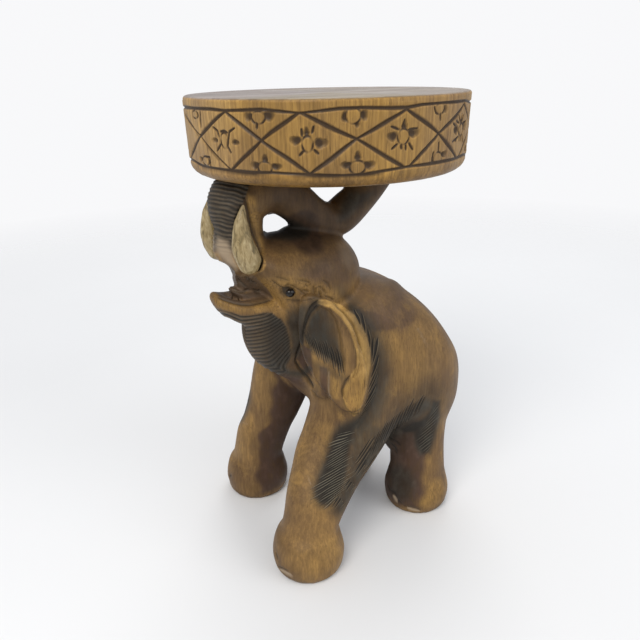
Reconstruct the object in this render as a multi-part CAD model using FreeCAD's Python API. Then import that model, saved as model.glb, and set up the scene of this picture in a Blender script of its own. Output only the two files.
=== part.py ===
import FreeCAD, Part
import math
import os

# A carved wooden stool: an elephant with its head thrown back carries a round
# seat on its raised trunk. Millimetres, +Z up, the elephant faces -Y and its
# left side is +X. The origin is on the floor under the middle of the stool's
# length; everything is drawn from the seat's axis and moved there at the end.

V = FreeCAD.Vector

# Whole stool
stool_height = 460.0
overrun = 6.0
fit_clearance = 0.15

# Seat drum and its carved band
seat_thickness = 67.0
seat_top_diameter = 264.0
seat_bottom_diameter = 260.0
seat_top_rounding = 2.5
seat_bottom_rounding = 11.0
seat_top_rounding_steps = 1
seat_bottom_rounding_steps = 2
rim_line_drop = 9.0
rim_line_rise = 11.5
rim_line_width = 3.0
rim_line_depth = 1.6
lattice_line_width = 3.0
lattice_line_depth = 1.0
diamond_count = 12
diamond_turn_deg = -6.2
flower_boss_diameter = 10.0
petal_count = 6
petal_length = 9.0
petal_width = 4.6
petal_depth = 1.8

# Elephant: overall measures that the tables of shares below refer to
elephant_length = 300.0
elephant_width = 200.0
elephant_height = stool_height - seat_thickness

# Feet and legs
foot_diameter = 74.0
foot_height = 50.0
front_ankle_diameter = 59.0
hind_ankle_diameter = 62.0
front_feet_spacing = 150.0
hind_feet_spacing = 100.0
front_left_reach = 75.0
front_right_reach = 63.0
hind_left_reach = 89.0
hind_right_reach = 45.0

# Trunk
trunk_thickness = 50.0

# Ears
ear_length = 75.0
ear_thickness = 16.0
ear_splay_deg = 35.0
ear_rim_width = 9.0
ear_hollow_depth = 3.5
ear_corner_share = 1.3

# Tusks and eyes
tusk_length = 66.0
tusk_thickness = 20.0
tusk_width = 23.0
tusk_peg_diameter = 8.0
tusk_peg_length = 10.0
tusk_gap = 0.3
eye_diameter = 9.0
eye_shank_diameter = 3.0
eye_shank_length = 7.0

# Hidden dowels between trunk and seat
dowel_diameter = 10.0
dowel_length = 44.0

# Hand-chosen shares. A torso row is: place along the length, height of the
# middle, half width and half height. A share of 1 is the elephant's length,
# height, width or height.
torso_shares = (
    (-0.190, 0.570, 0.130, 0.095),
    (-0.120, 0.545, 0.260, 0.155),
    (0.000, 0.518, 0.350, 0.196),
    (0.120, 0.487, 0.395, 0.229),
    (0.233, 0.455, 0.405, 0.222),
    (0.333, 0.420, 0.390, 0.195),
    (0.420, 0.387, 0.330, 0.148),
    (0.480, 0.374, 0.230, 0.102),
    (0.510, 0.369, 0.110, 0.048),
)
head_shares = (
    (0.080, 0.738, 0.060, 0.030),
    (0.060, 0.736, 0.150, 0.071),
    (0.010, 0.733, 0.220, 0.107),
    (-0.060, 0.730, 0.260, 0.125),
    (-0.133, 0.728, 0.270, 0.135),
    (-0.207, 0.735, 0.265, 0.122),
    (-0.263, 0.776, 0.230, 0.069),
    (-0.313, 0.804, 0.170, 0.036),
)
jaw_shares = (
    (-0.150, 0.655, 0.205, 0.060),
    (-0.270, 0.668, 0.185, 0.048),
    (-0.345, 0.682, 0.140, 0.038),
    (-0.395, 0.698, 0.085, 0.026),
    (-0.420, 0.712, 0.035, 0.014),
)
# A throat row is: height, place along the length, half width and half length.
throat_shares = (
    (0.700, -0.150, 0.215, 0.133),
    (0.641, -0.170, 0.220, 0.150),
    (0.575, -0.163, 0.220, 0.160),
    (0.514, -0.137, 0.210, 0.147),
    (0.466, -0.090, 0.190, 0.113),
    (0.427, -0.040, 0.150, 0.080),
)
# A trunk row is: place along the length, height of the middle, half width and
# half depth as shares of the trunk's thickness, and the tilt of the section.
trunk_shares = (
    (-0.190, 0.745, 0.66, 0.34, 60.0),
    (-0.267, 0.778, 0.66, 0.36, 52.0),
    (-0.320, 0.824, 0.52, 0.50, 22.0),
    (-0.324, 0.883, 0.49, 0.45, -2.0),
    (-0.318, 0.944, 0.58, 0.56, -30.0),
    (-0.220, 0.964, 0.54, 0.48, -85.0),
    (-0.127, 0.922, 0.48, 0.48, -120.0),
    (-0.050, 0.878, 0.42, 0.39, -122.0),
    (0.007, 0.865, 0.40, 0.35, -92.0),
    (0.042, 0.870, 0.39, 0.37, -65.0),
    (0.087, 0.898, 0.38, 0.36, -48.0),
    (0.147, 0.944, 0.38, 0.32, -45.0),
    (0.200, 0.992, 0.40, 0.31, -45.0),
    (0.227, 1.016, 0.40, 0.31, -45.0),
)
# A leg row is: height as a share of the elephant's height, how far the leg has
# gone from its foot to its shoulder or hip, half width and half length as
# shares of the ankle's diameter.
front_left_leg_shares = (
    (0.127, 0.07, 0.500, 0.500),
    (0.204, 0.34, 0.510, 0.670),
    (0.255, 0.62, 0.535, 0.840),
    (0.300, 0.84, 0.550, 0.960),
    (0.345, 0.96, 0.560, 0.920),
    (0.410, 1.00, 0.560, 0.800),
    (0.501, 0.98, 0.500, 0.740),
    (0.600, 0.99, 0.380, 0.640),
    (0.667, 1.00, 0.200, 0.400),
)
front_right_leg_shares = (
    (0.127, 0.04, 0.500, 0.500),
    (0.204, 0.17, 0.505, 0.545),
    (0.255, 0.31, 0.510, 0.560),
    (0.330, 0.47, 0.530, 0.610),
    (0.430, 0.63, 0.550, 0.660),
    (0.510, 0.78, 0.500, 0.660),
    (0.600, 0.95, 0.380, 0.600),
    (0.667, 1.00, 0.200, 0.400),
)
hind_leg_shares = (
    (0.127, 0.00, 0.510, 0.500),
    (0.204, 0.40, 0.520, 0.500),
    (0.267, 0.80, 0.550, 0.560),
    (0.344, 1.00, 0.560, 0.600),
    (0.420, 1.00, 0.400, 0.450),
)
# A foot row is: height as a share of the foot's height, radius as a share of
# the foot's radius.
foot_shares = (
    (0.00, 0.84),
    (0.15, 0.96),
    (0.42, 1.00),
    (0.76, 0.90),
)
# A tail row is: height, place along the length, half width and half length.
tail_shares = (
    (0.490, 0.460, 0.022, 0.016),
    (0.430, 0.492, 0.024, 0.018),
    (0.370, 0.504, 0.024, 0.018),
    (0.310, 0.498, 0.024, 0.018),
    (0.265, 0.484, 0.034, 0.020),
    (0.235, 0.472, 0.030, 0.018),
    (0.210, 0.464, 0.012, 0.008),
)
front_shoulder_shares = (0.230, -0.005)
hind_left_hip_shares = (0.190, 0.305)
hind_right_hip_shares = (0.200, 0.235)
# An ear row is: height, then where the flap starts and ends as shares of the
# ear's length, from the front.
ear_shares = (
    (0.742, 0.24, 0.34),
    (0.730, 0.17, 0.48),
    (0.700, 0.14, 0.64),
    (0.650, 0.13, 0.80),
    (0.590, 0.17, 0.91),
    (0.530, 0.30, 0.98),
    (0.480, 0.48, 0.97),
    (0.448, 0.61, 0.91),
    (0.436, 0.71, 0.82),
)
# A tusk row is: share of its length, half its thickness and width as a share of
# them, and how far it bows forward, as a share of its length.
tusk_shares = (
    (0.00, 0.18, 0.00),
    (0.07, 0.36, 0.01),
    (0.20, 0.50, 0.03),
    (0.45, 0.45, 0.05),
    (0.70, 0.29, 0.04),
    (0.88, 0.14, 0.01),
    (1.00, 0.04, -0.02),
)
ear_front_shares = (0.250, -0.250)
tusk_peg_height_share = 0.32
tusk_left_root_shares = (0.150, -0.338, 0.787)
tusk_right_root_shares = (-0.150, -0.360, 0.787)
eye_place_shares = (0.262, -0.243, 0.743)
# A bead row is: place along its axis and radius, as shares of its radius.
bead_shares = (
    (-0.55, 0.80),
    (0.00, 1.00),
    (0.45, 0.87),
    (0.80, 0.52),
    (0.95, 0.20),
)
dowel_front_share = -0.250
dowel_rear_share = 0.170
body_ring_points = 16
limb_ring_points = 12
small_ring_points = 8
steps_between_rings = 2
torso_corner_share = 1.09

seat_underside = stool_height - seat_thickness
seat_top_radius = seat_top_diameter / 2
seat_bottom_radius = seat_bottom_diameter / 2
rim_line_top = stool_height - rim_line_drop
rim_line_bottom = seat_underside + rim_line_rise
up = V(0, 0, 1)


def ring(middle, across, deep, count=limb_ring_points, corner_share=1.0):
    """Points round an oval with the half axes across and deep, pushed out at its corners."""
    points = []
    for k in range(count):
        angle = 2 * math.pi * k / count
        push = 1 + (corner_share - 1) * math.sin(2 * angle) ** 2
        points.append(middle + across * (push * math.cos(angle)) + deep * (push * math.sin(angle)))
    return points


def between(rings, i, share):
    """Ring a share of the way from ring i to the next, on a smooth curve through all."""
    last = len(rings) - 1
    near = [rings[max(i - 1, 0)], rings[i], rings[i + 1], rings[min(i + 2, last)]]
    weights = (
        (-share + 2 * share**2 - share**3) / 2,
        (2 - 5 * share**2 + 3 * share**3) / 2,
        (share + 4 * share**2 - 3 * share**3) / 2,
        (share**3 - share**2) / 2,
    )
    points = []
    for corner in zip(*near):
        point = V(0, 0, 0)
        for weight, place_there in zip(weights, corner):
            point = point + place_there * weight
        points.append(point)
    return points


def facet(*corners):
    return Part.Face(Part.makePolygon(list(corners) + [corners[0]]))


def carved(rows, steps=steps_between_rings):
    """Solid with flat facets, like tool cuts, on a smooth curve through the rings."""
    rings = []
    for i in range(len(rows) - 1):
        for step in range(steps):
            rings.append(between(rows, i, step / steps))
    rings.append(rows[-1])
    faces = [facet(*rings[0]), facet(*rings[-1])]
    for low, high in zip(rings, rings[1:]):
        for k in range(len(low)):
            n = (k + 1) % len(low)
            faces.append(facet(low[k], low[n], high[n]))
            faces.append(facet(low[k], high[n], high[k]))
    shell = Part.makeShell(faces)
    shell.sewShape()
    solid = Part.makeSolid(shell)
    if solid.Volume < 0:
        solid.reverse()
    return solid


def place(x_share, y_share, z_share):
    """Point of the elephant at shares of its width, length and height."""
    return V(x_share * elephant_width, y_share * elephant_length, z_share * elephant_height)


def upright(rows, count, corner_share):
    """Solid through upright ovals, one per row of the torso, head or jaw."""
    rings = []
    for y_share, z_share, width_share, height_share in rows:
        across = V(width_share * elephant_width, 0, 0)
        deep = V(0, 0, height_share * elephant_height)
        rings.append(ring(place(0, y_share, z_share), across, deep, count, corner_share))
    return carved(rings)


def level(rows):
    """Solid through level ovals, one per row of the throat or tail."""
    rings = []
    for z_share, y_share, width_share, length_share in rows:
        across = V(width_share * elephant_width, 0, 0)
        deep = V(0, length_share * elephant_length, 0)
        rings.append(ring(place(0, y_share, z_share), across, deep))
    return carved(rings, 1)


def trunk():
    rings = []
    for y_share, z_share, width_share, depth_share, tilt_deg in trunk_shares:
        tilt = math.radians(tilt_deg)
        across = V(width_share * trunk_thickness, 0, 0)
        deep = V(0, math.cos(tilt), math.sin(tilt)) * (depth_share * trunk_thickness)
        rings.append(ring(place(0, y_share, z_share), across, deep))
    return carved(rings)


def leg(foot, top, ankle_diameter, rows):
    """One leg from its flat sole to where it ends inside the body."""
    rings = []
    for z_share, radius_share in foot_shares:
        radius = radius_share * foot_diameter / 2
        middle = foot + up * (z_share * foot_height)
        rings.append(ring(middle, V(radius, 0, 0), V(0, radius, 0)))
    for z_share, drift_share, width_share, length_share in rows:
        middle = foot + (top - foot) * drift_share
        middle.z = z_share * elephant_height
        across = V(width_share * ankle_diameter, 0, 0)
        deep = V(0, length_share * ankle_diameter, 0)
        rings.append(ring(middle, across, deep))
    return carved(rings, 1)


def front_leg(side, reach, rows):
    foot = V(side * front_feet_spacing / 2, -reach, 0)
    top = place(side * front_shoulder_shares[0], front_shoulder_shares[1], 0)
    return leg(foot, top, front_ankle_diameter, rows)


def hind_leg(side, reach, hip_shares):
    foot = V(side * hind_feet_spacing / 2, reach, 0)
    top = place(side * hip_shares[0], hip_shares[1], 0)
    return leg(foot, top, hind_ankle_diameter, hind_leg_shares)


def flap(side, inset, shift):
    """Upright flap through the rows of the ear, drawn in by inset and moved outward by shift."""
    splay = math.radians(ear_splay_deg)
    back = V(side * math.sin(splay), math.cos(splay), 0)
    out = V(side * math.cos(splay), -math.sin(splay), 0)
    front = place(side * ear_front_shares[0], ear_front_shares[1], 0) + out * shift
    rings = []
    for z_share, near_share, far_share in ear_shares:
        half = (far_share - near_share) * ear_length / 2
        middle = front + back * ((near_share + far_share) * ear_length / 2)
        middle = middle + up * (z_share * elephant_height)
        across = back * max(half - inset, half / 2)
        thick = out * (ear_thickness / 2)
        rings.append(ring(middle, across, thick, limb_ring_points, ear_corner_share))
    return carved(rings, 1)


def ear(side):
    hollow = flap(side, ear_rim_width, ear_thickness - ear_hollow_depth)
    return flap(side, 0, 0).cut(hollow)


def tusk_root(side):
    shares = tusk_left_root_shares if side > 0 else tusk_right_root_shares
    return place(*shares)


def tusk_body(side, extra):
    """Crescent of a tusk, grown by extra all round for its pocket."""
    rings = []
    for length_share, half_share, bow_share in tusk_shares:
        grow = extra * (2 * length_share - 1)
        climb = up * (length_share * tusk_length + grow)
        bow = V(0, -bow_share * tusk_length, 0)
        across = V(half_share * tusk_thickness + extra, 0, 0)
        deep = V(0, half_share * tusk_width + extra, 0)
        rings.append(ring(tusk_root(side) + climb + bow, across, deep, small_ring_points))
    return carved(rings)


def tusk_peg(side, extra):
    """Round peg from the thick of the tusk into the trunk beside it."""
    start = tusk_root(side) + up * (tusk_peg_height_share * tusk_length)
    reach = tusk_thickness / 2 + tusk_peg_length + extra
    return Part.makeCylinder(tusk_peg_diameter / 2 + extra, reach, start, V(-side, 0, 0))


def tusk(side):
    return tusk_body(side, 0).fuse(tusk_peg(side, 0)).removeSplitter()


def eye_place(side):
    return place(side * eye_place_shares[0], eye_place_shares[1], eye_place_shares[2])


def eye(side, extra):
    """Bead with its shank, grown by extra for its socket."""
    middle = eye_place(side)
    radius = eye_diameter / 2 + extra
    out = V(side, 0, 0)
    rings = []
    for height_share, radius_share in bead_shares:
        across = V(0, side * radius_share * radius, 0)
        deep = up * (radius_share * radius)
        rings.append(ring(middle + out * (height_share * radius), across, deep, small_ring_points))
    reach = eye_diameter / 2 + eye_shank_length + extra
    shank = Part.makeCylinder(eye_shank_diameter / 2 + extra, reach, middle, out * -1)
    return carved(rings, 1).fuse(shank).removeSplitter()


def dowel(y_share, extra):
    start = V(0, y_share * elephant_length, seat_underside - dowel_length / 2 - extra)
    return Part.makeCylinder(dowel_diameter / 2 + extra, dowel_length + 2 * extra, start, up)


def dowels(extra):
    return [dowel(dowel_front_share, extra), dowel(dowel_rear_share, extra)]


def elephant():
    pieces = [upright(torso_shares, body_ring_points, torso_corner_share)]
    pieces.append(upright(head_shares, body_ring_points, 1))
    pieces.append(upright(jaw_shares, limb_ring_points, 1))
    pieces.append(level(throat_shares))
    pieces.append(level(tail_shares))
    pieces.append(trunk())
    pieces.append(front_leg(1, front_left_reach, front_left_leg_shares))
    pieces.append(front_leg(-1, front_right_reach, front_right_leg_shares))
    pieces.append(hind_leg(1, hind_left_reach, hind_left_hip_shares))
    pieces.append(hind_leg(-1, hind_right_reach, hind_right_hip_shares))
    pieces += [ear(1), ear(-1)]
    whole = pieces[0].multiFuse(pieces[1:])
    span = 2 * elephant_length
    above = Part.makeBox(span, span, seat_thickness, V(-span / 2, -span / 2, seat_underside))
    cutters = [above] + dowels(fit_clearance)
    for side in (1, -1):
        cutters.append(tusk_body(side, tusk_gap))
        cutters.append(tusk_peg(side, fit_clearance))
        cutters.append(eye(side, fit_clearance))
    return whole.cut(cutters).removeSplitter()


def drum_radius(z):
    """Radius of the seat's side at a height, between its two diameters."""
    share = (z - seat_underside) / seat_thickness
    return seat_bottom_radius + share * (seat_top_radius - seat_bottom_radius)


def rounding(middle, radius, first_deg, steps):
    """Points on a quarter turn of an edge rounding, from first_deg on."""
    points = []
    for k in range(steps + 1):
        angle = math.radians(first_deg + 90 * k / steps)
        points.append(middle + V(math.cos(angle), 0, math.sin(angle)) * radius)
    return points


def drum():
    low = seat_underside + seat_bottom_rounding
    high = stool_height - seat_top_rounding
    low_middle = V(drum_radius(low) - seat_bottom_rounding, 0, low)
    high_middle = V(drum_radius(high) - seat_top_rounding, 0, high)
    points = [V(0, 0, seat_underside)]
    points += rounding(low_middle, seat_bottom_rounding, -90, seat_bottom_rounding_steps)
    points += rounding(high_middle, seat_top_rounding, 0, seat_top_rounding_steps)
    points += [V(0, 0, stool_height)]
    return facet(*points).revolve(V(0, 0, 0), up, 360)


def turned(shape, height, turn_deg):
    """Moves a tool made round the point (0, 0, 0) onto the side of the drum."""
    shape.translate(V(drum_radius(height), 0, height))
    shape.rotate(V(0, 0, 0), up, turn_deg)
    return shape


def lattice_strokes():
    """Slanting V strokes of the chisel, two to each side of a diamond."""
    stroke_turn = 360 / diamond_count / 2
    rise = (rim_line_top - rim_line_bottom) / 2
    run = 2 * seat_top_radius * math.sin(math.radians(stroke_turn / 2))
    slope = math.degrees(math.atan2(rise, run))
    length = math.hypot(rise, run)
    sink = seat_top_radius * (1 - math.cos(math.radians(stroke_turn / 2))) + lattice_line_depth
    wide = lattice_line_width / 2 / sink * (sink + overrun)
    strokes = []
    for k in range(diamond_count):
        for lean in (1, -1):
            for half in (0, 1):
                start = -length / 2
                stroke = facet(V(-sink, start, 0), V(overrun, start, -wide), V(overrun, start, wide))
                stroke = stroke.extrude(V(0, length, 0))
                stroke.rotate(V(0, 0, 0), V(1, 0, 0), lean * slope)
                height = rim_line_bottom + rise * (half + 0.5)
                across = (half + 0.5) * stroke_turn if lean > 0 else (1.5 - half) * stroke_turn
                turn = diamond_turn_deg + 2 * stroke_turn * k + across
                strokes.append(turned(stroke, height, turn))
    return strokes


def petal_cut(angle_deg):
    """Three-sided notch, deepest at the boss and running out to a point."""
    boss = flower_boss_diameter / 2
    deep = V(-petal_depth, 0, boss)
    tip = deep + (V(0, 0, boss + petal_length) - deep) * 2
    left = deep + (V(0, petal_width / 2, boss) - deep) * 2
    right = deep + (V(0, -petal_width / 2, boss) - deep) * 2
    faces = [facet(deep, tip, left), facet(deep, right, tip), facet(deep, left, right)]
    faces.append(facet(tip, right, left))
    shell = Part.makeShell(faces)
    shell.sewShape()
    notch = Part.makeSolid(shell)
    if notch.Volume < 0:
        notch.reverse()
    notch.rotate(V(0, 0, 0), V(1, 0, 0), angle_deg)
    return notch


def flower(height, turn_deg, side):
    """Notches round one boss: all for side 0, the upper ones for 1, the lower ones for -1."""
    cuts = []
    for k in range(petal_count):
        angle = 360 * k / petal_count
        if side * math.cos(math.radians(angle)) >= 0:
            cuts.append(turned(petal_cut(angle), height, turn_deg))
    return cuts


def flowers():
    """Whole flowers in the diamonds and half flowers against the two rim lines."""
    cuts = []
    turn = 360 / diamond_count
    middle = (rim_line_top + rim_line_bottom) / 2
    edge = flower_boss_diameter / 2 + rim_line_width / 2
    for k in range(diamond_count):
        here = diamond_turn_deg + turn * k
        cuts += flower(middle, here, 0)
        cuts += flower(rim_line_top - edge, here + turn / 2, -1)
        cuts += flower(rim_line_bottom + edge, here + turn / 2, 1)
    return cuts


def rim_lines():
    """V cuts round the drum at the two edges of the band."""
    lines = []
    for z in (rim_line_top, rim_line_bottom):
        radius = drum_radius(z)
        slope = rim_line_width / 2 / rim_line_depth
        deep = V(radius - rim_line_depth, 0, z)
        wide = slope * (rim_line_depth + overrun)
        low = V(radius + overrun, 0, z - wide)
        high = V(radius + overrun, 0, z + wide)
        lines.append(facet(deep, low, high).revolve(V(0, 0, 0), up, 360))
    return lines


def seat():
    cutters = rim_lines() + lattice_strokes() + flowers() + dowels(fit_clearance)
    return drum().cut(cutters).removeSplitter()


def main():
    os.makedirs("parts", exist_ok=True)
    nodes = {
        "seat": seat(),
        "elephant": elephant(),
        "tusk_left": tusk(1),
        "tusk_right": tusk(-1),
        "eye_left": eye(1, 0),
        "eye_right": eye(-1, 0),
        "seat_dowel_front": dowel(dowel_front_share, 0),
        "seat_dowel_rear": dowel(dowel_rear_share, 0),
    }
    length = Part.makeCompound(list(nodes.values())).BoundBox
    for name, shape in nodes.items():
        shape.translate(V(0, -(length.YMin + length.YMax) / 2, 0))
        print(name, len(shape.Solids), "solids", round(shape.Volume), "valid", shape.isValid())
        shape.exportStep("parts/" + name + ".step")


main()
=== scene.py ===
import math

import bpy
import numpy as np
from mathutils import Matrix, Vector

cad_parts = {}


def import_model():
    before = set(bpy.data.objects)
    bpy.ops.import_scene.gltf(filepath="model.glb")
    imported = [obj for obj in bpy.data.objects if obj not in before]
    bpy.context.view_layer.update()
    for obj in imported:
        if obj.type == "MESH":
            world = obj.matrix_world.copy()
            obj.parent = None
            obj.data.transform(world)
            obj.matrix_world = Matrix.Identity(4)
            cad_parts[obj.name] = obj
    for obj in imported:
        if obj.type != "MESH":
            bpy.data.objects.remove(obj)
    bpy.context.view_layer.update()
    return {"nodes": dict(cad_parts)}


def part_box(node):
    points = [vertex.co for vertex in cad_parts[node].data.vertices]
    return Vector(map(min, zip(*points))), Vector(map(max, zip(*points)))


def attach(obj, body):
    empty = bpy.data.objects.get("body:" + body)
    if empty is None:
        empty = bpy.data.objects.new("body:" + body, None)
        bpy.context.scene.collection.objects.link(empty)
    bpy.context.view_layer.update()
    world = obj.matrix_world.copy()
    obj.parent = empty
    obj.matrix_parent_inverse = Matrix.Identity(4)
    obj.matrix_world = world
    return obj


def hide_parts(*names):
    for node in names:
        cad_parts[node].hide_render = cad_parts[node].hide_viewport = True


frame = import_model()

# All carving is worked out in millimetres from the seat's axis on the floor:
# +Z up, the elephant faces -Y and its left side is +X.
MM = 0.001
seat_low, seat_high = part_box("seat")
SEAT_AXIS = (seat_low + seat_high) / 2
SHIFT = np.array([SEAT_AXIS.x, SEAT_AXIS.y, 0.0])

LENGTH, WIDTH, TRUNK = 300.0, 200.0, 50.0
STOOL, SEAT_THICK = 460.0, 67.0
HEIGHT = STOOL - SEAT_THICK
FOOT, FOOT_HEIGHT, FRONT_ANKLE, HIND_ANKLE = 74.0, 50.0, 59.0, 62.0
TOP_RADIUS, LOW_RADIUS = 132.0, 130.0
LOW_ROUND, TOP_ROUND = 11, 3
BAND_RADIUS = 131.0
MM_PER_DEG = math.radians(1) * BAND_RADIUS
VOXEL = 3.0
FOCAL, CENTRE = 620.0, 320.0
AIM = (0.5, 0.8660254)
PITCH, ROLL = math.radians(22.182), math.radians(-1.228)
EYE_POINT = np.array([524.8, -315.1, 481.0])


# Plain numbers tools

def smooth_rows(rows, steps=10):
    """Rows on a smooth curve through the given rows."""
    rows = np.array(rows, float)
    last = len(rows) - 1
    out = []
    for i in range(last):
        a, b, c, d = rows[max(i - 1, 0)], rows[i], rows[i + 1], rows[min(i + 2, last)]
        for k in range(steps):
            s = k / steps
            out.append(((-s + 2 * s**2 - s**3) * a + (2 - 5 * s**2 + 3 * s**3) * b
                        + (s + 4 * s**2 - 3 * s**3) * c + (s**3 - s**2) * d) / 2)
    out.append(rows[last])
    return np.array(out)


def blend(a, b, k):
    """Union of two distances with a fillet of size k."""
    h = np.clip(k - np.abs(a - b), 0, None) / k
    return np.minimum(a, b) - h * h * k / 4


def carve(a, b, k):
    """Distance a with the space of b taken away, edges softened by k."""
    return -blend(-a, b, k)


def step(x, low, high):
    """0 below low, 1 above high, smooth between."""
    t = np.clip((x - low) / (high - low), 0, 1)
    return t * t * (3 - 2 * t)


def bump(x, width):
    """1 at 0, falling to 0 at plus and minus width."""
    return 1 - step(np.abs(x), 0, width)


def line_place(u, v, line):
    """Distance to a polyline, share of the way along it, and side."""
    line = np.array(line, float)
    lengths = np.hypot(*(line[1:] - line[:-1]).T)
    total = lengths.sum()
    best = np.full(np.shape(u), 1e9)
    along = np.zeros(np.shape(u))
    side = np.zeros(np.shape(u))
    done = 0.0
    for (a, b), reach in zip(zip(line[:-1], line[1:]), lengths):
        d = (b - a) / reach
        du, dv = u - a[0], v - a[1]
        t = np.clip(du * d[0] + dv * d[1], 0, reach)
        gap = np.hypot(du - t * d[0], dv - t * d[1])
        nearer = gap < best
        best = np.where(nearer, gap, best)
        along = np.where(nearer, (done + t) / total, along)
        side = np.where(nearer, np.sign(du * d[1] - dv * d[0]), side)
        done += reach
    return best, along, side


def inside(u, v, corners):
    """Distance to a closed outline, negative inside."""
    ring = list(corners) + [corners[0]]
    gap = line_place(u, v, ring)[0]
    within = np.zeros(np.shape(u), bool)
    for (au, av), (bu, bv) in zip(ring[:-1], ring[1:]):
        if av != bv:
            crosses = (av > v) != (bv > v)
            within ^= crosses & (u < (bu - au) * (v - av) / (bv - av) + au)
    return np.where(within, -gap, gap)


def wobble(x, seed):
    """Slow hand-made unevenness between about -1 and 1."""
    return (np.sin(1.7 * x + seed) + np.sin(2.9 * x + 2.3 * seed)
            + np.sin(0.83 * x + 5.1 * seed)) / 2.2


# The elephant as a field of distances

def ovals(rows, upright, corner=1.0):
    """Field of stacked ovals: position, middle across, middle, half across, half."""
    t = smooth_rows(rows)
    t = t[np.argsort(t[:, 0], kind="stable")]
    first, last = t[0, 0], t[-1, 0]

    def field(x, y, z):
        s, b = (y, z) if upright else (z, y)
        c = np.clip(s, first, last)
        ca, cb, ra, rb = (np.interp(c, t[:, 0], t[:, k]) for k in (1, 2, 3, 4))
        a, b = x - ca, b - cb
        u, v = a / ra, b / rb
        rho, reach = np.hypot(u, v), np.hypot(a, b)
        edge = np.where(reach > 0.5, reach / np.maximum(rho, 1e-6), np.minimum(ra, rb))
        if corner != 1:
            edge = edge * (1 + (corner - 1) * (2 * u * v / np.maximum(rho, 1e-3) ** 2) ** 2)
        d = reach - edge
        over = np.abs(s - c)
        within = np.maximum(d, -np.minimum(s - first, last - s))
        return np.where(over > 0, np.hypot(np.maximum(d, 0), over), within)
    return field


def upright_rows(rows):
    return [(y * LENGTH, 0, z * HEIGHT, w * WIDTH, h * HEIGHT) for y, z, w, h in rows]


def level_rows(rows):
    return [(z * HEIGHT, 0, y * LENGTH, w * WIDTH, d * LENGTH) for z, y, w, d in rows]


torso = ovals(upright_rows((
    (-0.190, 0.570, 0.130, 0.095), (-0.120, 0.545, 0.260, 0.155), (0.000, 0.518, 0.350, 0.196),
    (0.120, 0.487, 0.395, 0.229), (0.233, 0.455, 0.405, 0.222), (0.333, 0.420, 0.390, 0.195),
    (0.420, 0.387, 0.330, 0.148), (0.480, 0.374, 0.230, 0.102), (0.507, 0.369, 0.110, 0.048),
    (0.512, 0.369, 0.020, 0.010))), True, 1.09)
head = ovals(upright_rows((
    (0.084, 0.738, 0.020, 0.010), (0.080, 0.738, 0.070, 0.032), (0.060, 0.736, 0.150, 0.065),
    (0.010, 0.733, 0.218, 0.103), (-0.060, 0.730, 0.260, 0.125), (-0.133, 0.728, 0.270, 0.135),
    (-0.207, 0.735, 0.265, 0.122), (-0.263, 0.776, 0.230, 0.069), (-0.313, 0.804, 0.170, 0.036))),
    True)
jaw = ovals(upright_rows((
    (-0.150, 0.655, 0.205, 0.060), (-0.270, 0.667, 0.185, 0.049), (-0.345, 0.680, 0.140, 0.041),
    (-0.395, 0.697, 0.088, 0.031), (-0.418, 0.709, 0.055, 0.021), (-0.427, 0.714, 0.025, 0.011))),
    True)
tongue = ovals(((-60, 0, 277, 17, 9), (-85, 0, 278, 15, 8), (-98, 0, 280, 13, 7),
                (-106, 0, 284, 9, 5.0),
                (-110, 0, 287, 4, 2.5)), True)
inner_cheek = ovals(((-60, 0, 293, 17, 17), (-80, 0, 294, 15, 17), (-94, 0, 296, 12, 16),
        (-100, 0, 297, 10, 15),
                     (-104, 0, 299, 6, 12)), True)
throat = ovals(level_rows((
    (0.700, -0.150, 0.215, 0.133), (0.641, -0.170, 0.220, 0.150), (0.575, -0.163, 0.220, 0.160),
    (0.514, -0.137, 0.210, 0.147), (0.466, -0.090, 0.190, 0.113), (0.427, -0.040, 0.150, 0.080))),
    False)
tail = ovals(level_rows((
    (0.490, 0.460, 0.022, 0.016), (0.430, 0.492, 0.024, 0.018), (0.370, 0.503, 0.024, 0.018),
    (0.310, 0.497, 0.024, 0.018), (0.265, 0.484, 0.034, 0.020), (0.235, 0.472, 0.030, 0.018),
    (0.210, 0.464, 0.012, 0.008))), False)

FOOT_ROWS = ((0.00, 0.84), (0.04, 0.90), (0.15, 0.965), (0.42, 1.00), (0.76, 0.90))
LEGS = {
    "front_left": (75, -75, 46, -1.5, FRONT_ANKLE, (
        (0.127, 0.07, 0.500, 0.500), (0.204, 0.34, 0.510, 0.670), (0.255, 0.62, 0.535, 0.840),
        (0.300, 0.84, 0.550, 0.960), (0.345, 0.96, 0.560, 0.920), (0.410, 1.00, 0.560, 0.800),
        (0.501, 0.98, 0.500, 0.740), (0.600, 0.99, 0.380, 0.640), (0.667, 1.00, 0.200, 0.400))),
    "front_right": (-75, -63, -46, -1.5, FRONT_ANKLE, (
        (0.127, 0.04, 0.500, 0.500), (0.204, 0.17, 0.505, 0.545), (0.255, 0.31, 0.510, 0.560),
        (0.330, 0.47, 0.530, 0.610), (0.430, 0.63, 0.550, 0.660), (0.510, 0.78, 0.500, 0.660),
        (0.600, 0.95, 0.380, 0.600), (0.667, 1.00, 0.200, 0.400))),
    "hind_left": (50, 86.5, 38, 90.5, HIND_ANKLE, (
        (0.127, 0.00, 0.510, 0.500), (0.204, 0.40, 0.520, 0.500), (0.267, 0.80, 0.550, 0.560),
        (0.344, 1.00, 0.560, 0.600), (0.420, 1.00, 0.400, 0.450))),
    "hind_right": (-50, 45, -40, 70.5, HIND_ANKLE, (
        (0.127, 0.00, 0.510, 0.500), (0.204, 0.40, 0.520, 0.500), (0.267, 0.80, 0.550, 0.560),
        (0.344, 1.00, 0.560, 0.600), (0.420, 1.00, 0.400, 0.450))),
}


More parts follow.
